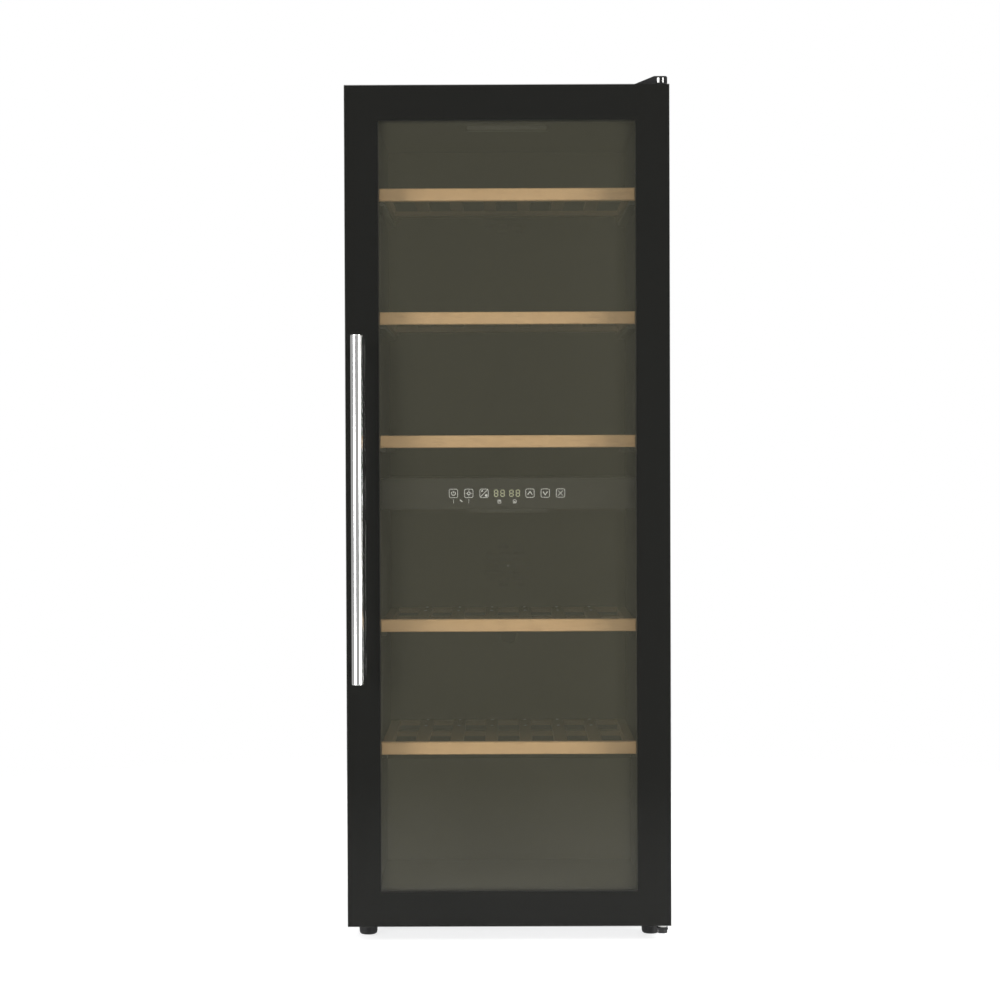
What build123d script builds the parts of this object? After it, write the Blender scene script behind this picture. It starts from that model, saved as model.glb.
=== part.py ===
from build123d import *
import math
import os

# Upright two-zone wine cooler. Millimetres. +X right, +Y back, +Z up.
# The origin is on the floor, under the centre of the whole cooler's box.

# ---- Overall sizes ----
WIDTH = 595.0
CABINET_HEIGHT = 1536.0
CABINET_DEPTH = 570.0
FLOOR_TO_CABINET = 33.0

# ---- Cabinet walls ----
SHEET = 1.0
BASE_SHEET = 1.5
FRONT_FLANGE = 12.0
COLLAR_THICK = 2.0
SIDE_WALL = 55.0
CEILING_WALL = 55.0
FLOOR_WALL = 55.0
REAR_WALL = 55.0
REAR_LIP = 2.0
LINER = 2.0
MACHINE_DEPTH = 180.0
MACHINE_HEIGHT = 212.0
MACHINE_WALL = 45.0

# ---- Door ----
DOOR_ABOVE_CABINET = 2.0
DOOR_BELOW_CABINET = 4.0
DOOR_THICK = 46.0
SEAL_GAP = 8.0
DOOR_BORDER = 65.0
DOOR_SIDE_BORDER = 62.0
FRAME_INSET = 1.5
OUTER_PANE = 4.0
INNER_PANE = 4.0
SPACER_DEPTH = 12.0
SPACER_WIDTH = 10.0
PANE_CLEARANCE = 0.5
GASKET_INSET = 18.0
GASKET_WIDTH = 14.0
GASKET_CLEARANCE = 0.5
PANE_CORNER = 2.0

# ---- Handle ----
HANDLE_RADIUS = 11.0
HANDLE_REACH = 45.0
HANDLE_LENGTH = 634.0
HANDLE_INSET = 24.2
HANDLE_BELOW_CENTRE = 4.0
POST_RADIUS = 6.5
POST_FROM_END = 30.0
HANDLE_SCREW_RADIUS = 2.5
HANDLE_SCREW_HEAD = 5.0
HANDLE_SCREW_BITE = 14.0
HANDLE_SCREW_SEAT = 20.0
HANDLE_SCREW_CLEARANCE = 0.5
HANDLE_SCREW_HEAD_HEIGHT = 3.0
HANDLE_END_ROUND = 1.2

# ---- Hinges ----
HINGE_FROM_SIDE = 15.5
HINGE_FROM_DOOR_BACK = 16.0
PIN_RADIUS = 5.0
PIN_DEPTH = 19.0
PIN_HEAD_RADIUS = 8.0
PIN_HEAD_HEIGHT = 4.0
PIN_NUT_RADIUS = 9.5
PIN_NUT_HEIGHT = 7.3
PIN_NUT_TURN = -15.0
PIN_TIP_GAP = 3.0
BUSH_RADIUS = 8.0
BUSH_PROUD = 1.2
RUNNING_CLEARANCE = 0.05
BRACKET_THICK = 3.0
BRACKET_GAP = 1.0
BOTTOM_BRACKET_GAP = 6.5
BRACKET_HALF_WIDTH = 10.0
BRACKET_STEP_SETBACK = 2.0
TOP_BRACKET_REACH = 26.0
TOP_BRACKET_LENGTH = 104.0
BOTTOM_BRACKET_LENGTH = 42.0
BOTTOM_BRACKET_REACH = 26.0
HINGE_SCREW_RADIUS = 3.0
HINGE_SCREW_HEAD_RADIUS = 5.0
HINGE_SCREW_HEAD = 3.0
HINGE_SCREW_LENGTH = 18.0
TOP_SCREWS_BEHIND_PIN = (50.0, 85.0)
TOP_SCREWS_BESIDE_PIN = 18.0
BOTTOM_SCREWS_BEHIND_PIN = 34.0
BOTTOM_SCREWS_BESIDE_PIN = (-18.0, 2.0)
COVER_HEIGHT = 15.0
COVER_WIDTH = 61.0
COVER_SLOPE = 37.0
COVER_WALL = 1.8
COVER_FROM_SIDE = 3.5
COVER_CLEARANCE = 3.0
COVER_CAP = 2.5
COVER_ROUND = 3.5
COVER_SLOTS = ((19.9, 4.4), (11.2, 2.6))  # each slot's middle from the side, and its width

# ---- Shelves ----
TOP_BAY = 125.6
SHELF_OVER_DIVIDER = 79.6
BOTTOM_BAY = 273.2
LOWER_PITCH = 228.4
DIVIDER_OVER_SHELF = 205.0
DIVIDER_THICK = 57.0
SHELF_SIDE_CLEARANCE = 5.5
SHELF_DEPTH = 430.0
FASCIA_SETBACK = 10.0
FASCIA_HEIGHT = 22.5
FASCIA_THICK = 18.0
FASCIA_CHAMFER = 1.5
RAIL_WIDTH = 17.0
RAIL_DROP = 4.0
RAIL_HEIGHT = 18.0
CROSS_RAIL_WIDTH = 30.0
CROSS_RAIL_SETBACK = 277.0
CLEAT_WIDTH = 15.0
REAR_RAIL_WIDTH = 20.0
CROSS_THICK = 9.0
SLAT_WIDTH = 24.0
SLAT_THICK = 10.0
SLAT_PITCH = 65.5
SLATS = 6
RUNNER_THICK = 8.0
RUNNER_UNDER_RAIL = 10.0
SLIDE_CLEARANCE = 0.5

# ---- Controls, lights, filter ----
PANEL_SETBACK = 8.0
PANEL_THICK = 4.0
BOARD_WIDTH = 250.0
BOARD_HEIGHT = 36.0
BOARD_THICK = 1.6
BOARD_POCKET = 14.0
BOARD_CLEARANCE = 3.0
LIGHT_SETBACK = 88.0
LIGHT_WIDTH = 150.0
LIGHT_DEPTH = 16.0
LIGHT_HEIGHT = 9.0
LIGHT_CHAMFER = 2.5
FILTER_RADIUS = 17.0
FILTER_THICK = 8.0
FILTER_ROUND = 2.0
FILTER_BELOW_SHELF = 62.0

# ---- Air ducts and fans ----
DUCT_DEPTH = 45.0
DUCT_SIDE_GAP = 5.0
DUCT_WALL = 2.0
DUCT_END_GAP = 4.0
GRILLE_SLOTS = 7
GRILLE_SLOT_HEIGHT = 6.0
GRILLE_SLOT_PITCH = 13.0
GRILLE_EDGE = 2.0
OUTLETS = 6
OUTLET_WIDTH = 44.0
OUTLET_HEIGHT = 6.0
OUTLET_PITCH = 60.0
OUTLET_RISE = 12.0
FAN_RADIUS = 52.0
FAN_THICK = 14.0
FAN_BLADES = 7
FAN_HUB_RADIUS = 17.0
FAN_FRONT_GAP = 4.0
FAN_UNDER_DUCT_TOP = 70.0
BLADE_ROOT_DEPTH = 4.0
BLADE_THICK = 2.0
BLADE_CHORD = 0.72  # share of the way round to the next blade
BLADE_PITCH = 28.0
MOTOR_RADIUS = 19.0
MOTOR_GAP = 2.0
SHAFT_RADIUS = 2.0
EVAPORATOR_WIDTH = 300.0
EVAPORATOR_HEIGHT = 130.0
EVAPORATOR_DEPTH = 21.0
EVAPORATOR_FINS = 14
EVAPORATOR_UNDER_FAN = 12.0
EVAPORATOR_PLATE = 3.0
EVAPORATOR_MARGIN = 8.0
FIN_THICK = 2.0
FIN_MARGIN = 4.0

# ---- Machine compartment ----
COMPRESSOR_RADIUS = 60.0
COMPRESSOR_HEIGHT = 140.0
COMPRESSOR_DOME = 24.0
COMPRESSOR_FROM_SIDE = 175.0
MOUNT_PLATE_THICK = 3.0
MOUNT_HALF_SPAN = 82.0
MOUNT_HALF_REACH = 40.0
MOUNT_MARGIN = 2.0
GROMMET_RADIUS = 10.0
GROMMET_BORE = 4.0
GROMMET_HEIGHT = 12.0
CONDENSER_LENGTH = 170.0
CONDENSER_DEPTH = 90.0
CONDENSER_HEIGHT = 150.0
CONDENSER_FINS = 15
CONDENSER_TUBE_RADIUS = 4.0
CONDENSER_TUBE_ROWS = 4
CONDENSER_TUBE_OVERHANG = 6.0
CONDENSER_FROM_SIDE = 45.0
CONDENSER_FAN_GAP = 12.0
CONDENSER_MOTOR_LENGTH = 14.0
FAN_STAND_THICK = 3.0
FAN_STAND_WIDTH = 28.0
FAN_STAND_TOE = 14.0
TRAY_LENGTH = 140.0
TRAY_DEPTH = 110.0
TRAY_HEIGHT = 16.0
TRAY_WALL = 1.5
INLET_WIDTH = 48.0
INLET_HEIGHT = 28.0
INLET_DEPTH = 24.0
INLET_FROM_SIDE = 48.0
INLET_FROM_BASE = 36.0
INLET_CLEARANCE = 0.3
INLET_WELL_SIDE = 10.0
INLET_WELL_END = 5.0
INLET_FLOOR = 5.0
INLET_BLADE_PITCH = 7.0
INLET_BLADE_WIDTH = 2.0
INLET_BLADE_HEIGHT = 5.0
LOUVRES = 9
LOUVRE_COLUMNS = 4
LOUVRE_COLUMN_PITCH = 130.0
LOUVRE_WIDTH = 90.0
LOUVRE_ABOVE_BASE = 50.0
LOUVRE_HEIGHT = 6.0
LOUVRE_PITCH = 15.0

# ---- Levelling feet ----
FOOT_RADIUS = 16.5
FOOT_FROM_SIDE = 33.5
FOOT_FROM_FACE = 40.0
FOOT_PAD = 20.0
FOOT_ROUND = 5.0
FOOT_COLLAR_RADIUS = 8.0
FOOT_COLLAR = 6.0
STUD_RADIUS = 4.0
STUD_LENGTH = 30.0
SOCKET_RADIUS = 9.0
SOCKET_HEIGHT = 26.0
SOCKET_CLEARANCE = 0.2

THROUGH = 200.0  # reach of a tool body that cuts right through a wall

# ---- Planes worked out from the sizes above ----
DEPTH = HANDLE_RADIUS + HANDLE_REACH + DOOR_THICK + SEAL_GAP + CABINET_DEPTH
HALF = WIDTH / 2
DOOR_FRONT = -DEPTH / 2 + HANDLE_RADIUS + HANDLE_REACH
DOOR_BACK = DOOR_FRONT + DOOR_THICK
FRONT = DOOR_BACK + SEAL_GAP
BACK = FRONT + CABINET_DEPTH
REAR = BACK - REAR_LIP
BASE = FLOOR_TO_CABINET
TOP = BASE + CABINET_HEIGHT
DOOR_LOW = BASE - DOOR_BELOW_CABINET
DOOR_HIGH = TOP + DOOR_ABOVE_CABINET
COLLAR_BACK = FRONT + SHEET + COLLAR_THICK
CAVITY_X = HALF - SIDE_WALL
CAVITY_LOW = BASE + FLOOR_WALL
CAVITY_HIGH = TOP - CEILING_WALL
CAVITY_BACK = BACK - REAR_WALL
MACHINE_FRONT = BACK - MACHINE_DEPTH
MACHINE_TOP = BASE + MACHINE_HEIGHT
STEP_FRONT = MACHINE_FRONT - MACHINE_WALL
STEP_TOP = MACHINE_TOP + MACHINE_WALL
DUCT_FRONT = CAVITY_BACK - DUCT_DEPTH
BASE_TOP = BASE + BASE_SHEET
HINGE_X = HALF - HINGE_FROM_SIDE
HINGE_Y = DOOR_BACK - HINGE_FROM_DOOR_BACK
FASCIA_FRONT = FRONT + FASCIA_SETBACK
FASCIA_BACK = FASCIA_FRONT + FASCIA_THICK
SHELF_BACK = FASCIA_FRONT + SHELF_DEPTH
SHELF_X = CAVITY_X - SHELF_SIDE_CLEARANCE
RAIL_X = SHELF_X - RAIL_WIDTH
RUNNER_X = SHELF_X - RUNNER_UNDER_RAIL
DUCT_X = RUNNER_X - DUCT_SIDE_GAP
BRACKET_NEAR_TOP = DOOR_HIGH + BRACKET_GAP
COVER_TOP = BRACKET_NEAR_TOP + COVER_HEIGHT
COVER_RIGHT = HALF - COVER_FROM_SIDE
HANDLE_X = -HALF + HANDLE_INSET
HANDLE_Y = DOOR_FRONT - HANDLE_REACH
HANDLE_SEAT = DOOR_FRONT + OUTER_PANE + HANDLE_SCREW_SEAT

SHELF_5 = CAVITY_LOW + BOTTOM_BAY
SHELF_4 = SHELF_5 + LOWER_PITCH
DIVIDER_LOW = SHELF_4 + DIVIDER_OVER_SHELF
DIVIDER_HIGH = DIVIDER_LOW + DIVIDER_THICK
SHELF_3 = DIVIDER_HIGH + SHELF_OVER_DIVIDER
SHELF_1 = CAVITY_HIGH - TOP_BAY
SHELF_2 = (SHELF_1 + SHELF_3) / 2
SHELF_TOPS = (SHELF_1, SHELF_2, SHELF_3, SHELF_4, SHELF_5)

FOOT_PLACES = {
    "front_left": (-HALF + FOOT_FROM_SIDE, FRONT + FOOT_FROM_FACE),
    "front_right": (HALF - FOOT_FROM_SIDE, FRONT + FOOT_FROM_FACE),
    "rear_left": (-HALF + FOOT_FROM_SIDE, BACK - FOOT_FROM_FACE),
    "rear_right": (HALF - FOOT_FROM_SIDE, BACK - FOOT_FROM_FACE),
}


# ---- Shape helpers ----
def block(x, y, z):
    """A box from its low and high value along each axis."""
    corner = Pos(x[0], y[0], z[0])
    return corner * Solid.make_box(x[1] - x[0], y[1] - y[0], z[1] - z[0])


def rod(radius, start, end):
    """A cylinder between two points."""
    run = Vector(*end) - Vector(*start)
    return Solid.make_cylinder(radius, run.length, Plane(origin=start, z_dir=run))


def tube(outer, inner, start, end):
    """A cylinder with a hole right through it."""
    return rod(outer, start, end) - rod(inner, start, end)


def frame_pieces(outer_x, outer_z, side_wide, wide, y):
    """Two uprights and the two rails between them, as four solids round an opening."""
    inner_x = outer_x - side_wide
    uprights = [block(sorted((s * inner_x, s * outer_x)), y, outer_z) for s in (-1, 1)]
    low = block((-inner_x, inner_x), y, (outer_z[0], outer_z[0] + wide))
    high = block((-inner_x, inner_x), y, (outer_z[1] - wide, outer_z[1]))
    return [*uprights, low, high]


def save(name, *shapes):
    """Writes one named piece, or one group of separate solids."""
    solids = [solid for shape in shapes for solid in shape.solids()]
    whole = solids[0] if len(solids) == 1 else Compound(solids)
    export_step(whole, f"parts/{name}.step")


def fused(shapes):
    """One solid from several that touch or cross."""
    return shapes[0].fuse(*shapes[1:])


# ---- Cabinet shell ----
def hinge_screw_places():
    """Each hinge screw's place, and the plane that its head bears on."""
    top_x = HINGE_X - TOP_SCREWS_BESIDE_PIN
    top_plate = BRACKET_NEAR_TOP + BRACKET_THICK
    top = [(top_x, HINGE_Y + y, top_plate, -1) for y in TOP_SCREWS_BEHIND_PIN]
    bottom_y = HINGE_Y + BOTTOM_SCREWS_BEHIND_PIN
    bottom_plate = BASE - BRACKET_THICK
    bottom = [(HINGE_X + x, bottom_y, bottom_plate, 1) for x in BOTTOM_SCREWS_BESIDE_PIN]
    return top + bottom


def screw_clearance():
    """Holes for the hinge screws' shanks."""
    radius = HINGE_SCREW_RADIUS + SOCKET_CLEARANCE
    tools = []
    for x, y, z, way in hinge_screw_places():
        end = z + way * (HINGE_SCREW_LENGTH + SOCKET_CLEARANCE)
        tools.append(rod(radius, (x, y, z - way), (x, y, end)))
    return tools


def cut(shape, tools):
    """A shape less each of a list of tool bodies."""
    for tool in tools:
        shape = shape - tool
    return shape


def build_side_panels():
    for name, side in (("left", -1), ("right", 1)):
        outer = side * HALF
        skin = block(sorted((outer - side * SHEET, outer)), (FRONT, BACK), (BASE, TOP))
        flange_x = sorted((outer - side * FRONT_FLANGE, outer - side * SHEET))
        flange = block(flange_x, (FRONT, FRONT + SHEET), (BASE_TOP, TOP - SHEET))
        save(f"side_panel_{name}", fused([skin, flange]))


def build_top_and_back():
    inside = (-HALF + SHEET, HALF - SHEET)
    top = block(inside, (FRONT, BACK), (TOP - SHEET, TOP))
    save("top_panel", cut(top, screw_clearance()))
    back = block(inside, (REAR - SHEET, REAR), (MACHINE_TOP, TOP - SHEET))
    save("back_panel", back)


def build_base():
    inside = (-HALF + SHEET, HALF - SHEET)
    pan = block(inside, (FRONT, BACK), (BASE, BASE_TOP))
    holes = [
        rod(STUD_RADIUS + SLIDE_CLEARANCE, (x, y, BASE - 1), (x, y, BASE_TOP + 1))
        for x, y in FOOT_PLACES.values()
    ]
    save("base_pan", cut(pan, holes + screw_clearance()))
    wall_y = (MACHINE_FRONT - SHEET, MACHINE_FRONT)
    wall = block(inside, wall_y, (BASE_TOP, MACHINE_TOP + SHEET))
    deck_y = (MACHINE_FRONT, REAR - SHEET)
    deck = block(inside, deck_y, (MACHINE_TOP, MACHINE_TOP + SHEET))
    save("machine_bulkhead", fused([wall, deck]))


def build_collar():
    outer = HALF - SHEET
    ring = block((-outer, outer), (FRONT + SHEET, COLLAR_BACK), (BASE_TOP, TOP - SHEET))
    mouth_z = (CAVITY_LOW, CAVITY_HIGH)
    mouth = block((-CAVITY_X, CAVITY_X), (FRONT, COLLAR_BACK + 1), mouth_z)
    save("front_collar", cut(ring - mouth, screw_clearance()))


def cavity(grow, front):
    """The stepped storage space, grown outwards by a wall thickness."""
    x = (-CAVITY_X - grow, CAVITY_X + grow)
    tall = block(x, (front, CAVITY_BACK + grow), (STEP_TOP - grow, CAVITY_HIGH + grow))
    low = block(x, (front, STEP_FRONT + grow), (CAVITY_LOW - grow, STEP_TOP + grow))
    return fused([tall, low])


def build_liner_and_foam():
    shell = cavity(LINER, COLLAR_BACK)
    save("inner_liner", shell - cavity(0, COLLAR_BACK - 1))
    outer = HALF - SHEET
    foam = block((-outer, outer), (COLLAR_BACK, REAR - SHEET), (BASE_TOP, TOP - SHEET))
    machine_y = (MACHINE_FRONT - SHEET, BACK)
    machine = block((-HALF, HALF), machine_y, (BASE, MACHINE_TOP + SHEET))
    radius = SOCKET_RADIUS + SOCKET_CLEARANCE
    height = BASE_TOP + SOCKET_HEIGHT + SOCKET_CLEARANCE
    sockets = [rod(radius, (x, y, BASE), (x, y, height)) for x, y in FOOT_PLACES.values()]
    save("insulation_foam", cut(foam, [shell, machine, *sockets, *screw_clearance()]))


def build_feet():
    bore = STUD_RADIUS + RUNNING_CLEARANCE
    socket_top = BASE_TOP + SOCKET_HEIGHT
    sockets = []
    for name, (x, y) in FOOT_PLACES.items():
        sockets.append(tube(SOCKET_RADIUS, bore, (x, y, BASE_TOP), (x, y, socket_top)))
        pad = Solid.make_cylinder(FOOT_RADIUS, FOOT_PAD, Plane(origin=(x, y, 0)))
        rims = pad.edges().filter_by(GeomType.CIRCLE)
        pad = pad.fillet(FOOT_ROUND, rims)
        collar_top = FOOT_PAD + FOOT_COLLAR
        collar = rod(FOOT_COLLAR_RADIUS, (x, y, FOOT_PAD - 1), (x, y, collar_top))
        stud = rod(STUD_RADIUS, (x, y, collar_top - 1), (x, y, collar_top + STUD_LENGTH))
        save(f"foot_{name}", fused([pad, collar, stud]))
    save("foot_sockets", *sockets)


# ---- Shelves ----
def build_shelf(number, top):
    fascia_x = (-SHELF_X, SHELF_X)
    fascia = block(fascia_x, (FASCIA_FRONT, FASCIA_BACK), (top - FASCIA_HEIGHT, top))
    front_edges = fascia.faces().sort_by(Axis.Y)[0].edges()
    save(f"shelf_{number}_fascia", fascia.chamfer(FASCIA_CHAMFER, None, front_edges))

    rail_high = top - RAIL_DROP
    rail_low = rail_high - RAIL_HEIGHT
    between = (-RAIL_X, RAIL_X)
    cross_high = rail_low + CROSS_THICK
    cross_z = (rail_low, cross_high)
    slat_z = (cross_high, cross_high + SLAT_THICK)
    cross_front = FASCIA_BACK + CROSS_RAIL_SETBACK
    rear_front = SHELF_BACK - REAR_RAIL_WIDTH
    pieces = []
    for side in (-1, 1):
        rail_x = sorted((side * RAIL_X, side * SHELF_X))
        pieces.append(block(rail_x, (FASCIA_BACK, SHELF_BACK), (rail_low, rail_high)))
    pieces.append(block(between, (FASCIA_BACK, FASCIA_BACK + CLEAT_WIDTH), cross_z))
    pieces.append(block(between, (cross_front, cross_front + CROSS_RAIL_WIDTH), cross_z))
    pieces.append(block(between, (rear_front, SHELF_BACK), slat_z))
    for i in range(SLATS):
        middle = (i - (SLATS - 1) / 2) * SLAT_PITCH
        slat_x = (middle - SLAT_WIDTH / 2, middle + SLAT_WIDTH / 2)
        pieces.append(block(slat_x, (FASCIA_BACK, rear_front), slat_z))
    save(f"shelf_{number}_rack", *pieces)


def build_runners():
    y = (FASCIA_BACK + SLIDE_CLEARANCE, DUCT_FRONT)
    runners = []
    for top in SHELF_TOPS:
        high = top - RAIL_DROP - RAIL_HEIGHT - SLIDE_CLEARANCE
        for side in (-1, 1):
            x = sorted((side * RUNNER_X, side * CAVITY_X))
            runners.append(block(x, y, (high - RUNNER_THICK, high)))
    save("shelf_runners", *runners)


# ---- Divider, controls and lights ----
def build_divider():
    panel_y = (FRONT + PANEL_SETBACK, FRONT + PANEL_SETBACK + PANEL_THICK)
    x = (-CAVITY_X, CAVITY_X)
    z = (DIVIDER_LOW, DIVIDER_HIGH)
    middle = (DIVIDER_LOW + DIVIDER_HIGH) / 2
    save("control_panel", block(x, panel_y, z))
    slab = block(x, (panel_y[1], DUCT_FRONT), z)
    pocket_half = BOARD_WIDTH / 2 + BOARD_CLEARANCE
    pocket_rise = BOARD_HEIGHT / 2 + BOARD_CLEARANCE
    pocket_x = (-pocket_half, pocket_half)
    pocket_z = (middle - pocket_rise, middle + pocket_rise)
    pocket = block(pocket_x, (panel_y[1] - 1, panel_y[1] + BOARD_POCKET), pocket_z)
    save("zone_divider", slab - pocket)
    board_y = (panel_y[1], panel_y[1] + BOARD_THICK)
    board_z = (middle - BOARD_HEIGHT / 2, middle + BOARD_HEIGHT / 2)
    save("control_board", block((-BOARD_WIDTH / 2, BOARD_WIDTH / 2), board_y, board_z))


def build_lights():
    front = FRONT + LIGHT_SETBACK
    x = (-LIGHT_WIDTH / 2, LIGHT_WIDTH / 2)
    bars = []
    for ceiling in (CAVITY_HIGH, DIVIDER_LOW):
        bar = block(x, (front, front + LIGHT_DEPTH), (ceiling - LIGHT_HEIGHT, ceiling))
        long_edges = bar.faces().sort_by(Axis.Z)[0].edges().filter_by(Axis.X)
        bars.append(bar.chamfer(LIGHT_CHAMFER, None, long_edges))
    save("light_bars", *bars)


# ---- Air ducts, evaporators and fans ----
def rotor(radius, hub_height):
    """Fan rotor about +Z from z = 0, with pitched blades and a bore for its shaft."""
    hub = Solid.make_cylinder(FAN_HUB_RADIUS, hub_height)
    root = FAN_HUB_RADIUS - BLADE_ROOT_DEPTH
    chord = BLADE_CHORD * (radius + root) * math.pi / FAN_BLADES
    tip = Solid.make_cylinder(radius, hub_height)
    blade_x = (root, radius)
    blade_y = (-chord / 2, chord / 2)
    pitched = Pos(0, 0, hub_height / 2) * Rot(BLADE_PITCH, 0, 0)
    blade = pitched * block(blade_x, blade_y, (-BLADE_THICK / 2, BLADE_THICK / 2))
    blades = [Rot(0, 0, 360 / FAN_BLADES * i) * blade & tip for i in range(FAN_BLADES)]
    bore_radius = SHAFT_RADIUS + RUNNING_CLEARANCE
    bore = rod(bore_radius, (0, 0, -hub_height), (0, 0, 2 * hub_height))
    return fused([hub, *blades]) - bore


def motor(length, shaft):
    """Motor can about +Z from z = 0 upwards, with its shaft below."""
    can = Solid.make_cylinder(MOTOR_RADIUS, length)
    spindle = Solid.make_cylinder(SHAFT_RADIUS, shaft + 1, Plane(origin=(0, 0, -shaft)))
    return fused([can, spindle])


def build_zone(name, low, high):
    """A zone's duct cover, evaporator and fan rotor. Returns its motor."""
    low = low + DUCT_END_GAP
    high = high - DUCT_END_GAP
    cover = block((-DUCT_X, DUCT_X), (DUCT_FRONT, CAVITY_BACK), (low, high))
    hollow_x = (-DUCT_X + DUCT_WALL, DUCT_X - DUCT_WALL)
    hollow_y = (DUCT_FRONT + DUCT_WALL, CAVITY_BACK + 1)
    cover = cover - block(hollow_x, hollow_y, (low + DUCT_WALL, high - DUCT_WALL))
    fan_z = high - FAN_RADIUS - FAN_UNDER_DUCT_TOP
    slot_y = (DUCT_FRONT - 1, DUCT_FRONT + DUCT_WALL + 1)
    slots = []
    for i in range(GRILLE_SLOTS):
        rise = (i - (GRILLE_SLOTS - 1) / 2) * GRILLE_SLOT_PITCH
        reach = math.sqrt(FAN_RADIUS**2 - rise**2) - GRILLE_EDGE
        z = fan_z + rise
        slot_z = (z - GRILLE_SLOT_HEIGHT / 2, z + GRILLE_SLOT_HEIGHT / 2)
        slots.append(block((-reach, reach), slot_y, slot_z))
    outlet_z = (low + OUTLET_RISE, low + OUTLET_RISE + OUTLET_HEIGHT)
    for i in range(OUTLETS):
        middle = (i - (OUTLETS - 1) / 2) * OUTLET_PITCH
        outlet_x = (middle - OUTLET_WIDTH / 2, middle + OUTLET_WIDTH / 2)
        slots.append(block(outlet_x, slot_y, outlet_z))
    save(f"duct_cover_{name}", cut(cover, slots))

    towards_back = Plane(origin=(0, 0, 0), x_dir=(1, 0, 0), z_dir=(0, 1, 0)).location
    rotor_front = DUCT_FRONT + DUCT_WALL + FAN_FRONT_GAP
    rotor_back = rotor_front + FAN_THICK
    turned = towards_back * rotor(FAN_RADIUS, FAN_THICK)
    save(f"fan_rotor_{name}", Pos(0, rotor_front, fan_z) * turned)
    motor_front = rotor_back + MOTOR_GAP
    can = motor(CAVITY_BACK - motor_front, FAN_THICK)

    coil_high = fan_z - FAN_RADIUS - EVAPORATOR_UNDER_FAN
    coil_low = coil_high - EVAPORATOR_HEIGHT
    plate_x = (-EVAPORATOR_WIDTH / 2, EVAPORATOR_WIDTH / 2)
    plate_y = (CAVITY_BACK - EVAPORATOR_PLATE, CAVITY_BACK)
    plate = block(plate_x, plate_y, (coil_low, coil_high))
    fin_y = (CAVITY_BACK - EVAPORATOR_DEPTH, CAVITY_BACK - EVAPORATOR_PLATE + 1)
    fin_z = (coil_low + FIN_MARGIN, coil_high - FIN_MARGIN)
    pitch = (EVAPORATOR_WIDTH - 2 * EVAPORATOR_MARGIN) / (EVAPORATOR_FINS - 1)
    fins = []
    for i in range(EVAPORATOR_FINS):
        x = plate_x[0] + EVAPORATOR_MARGIN + i * pitch
        fins.append(block((x - FIN_THICK / 2, x + FIN_THICK / 2), fin_y, fin_z))
    save(f"evaporator_{name}", fused([plate, *fins]))
    return Pos(0, motor_front, fan_z) * towards_back * can


def build_filter():
    z = SHELF_4 - FILTER_BELOW_SHELF
    cap = rod(FILTER_RADIUS, (0, DUCT_FRONT - FILTER_THICK, z), (0, DUCT_FRONT, z))
    rim = cap.edges().filter_by(GeomType.CIRCLE).sort_by(Axis.Y)[0]
    save("carbon_filter", cap.fillet(FILTER_ROUND, [rim]))


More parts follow.
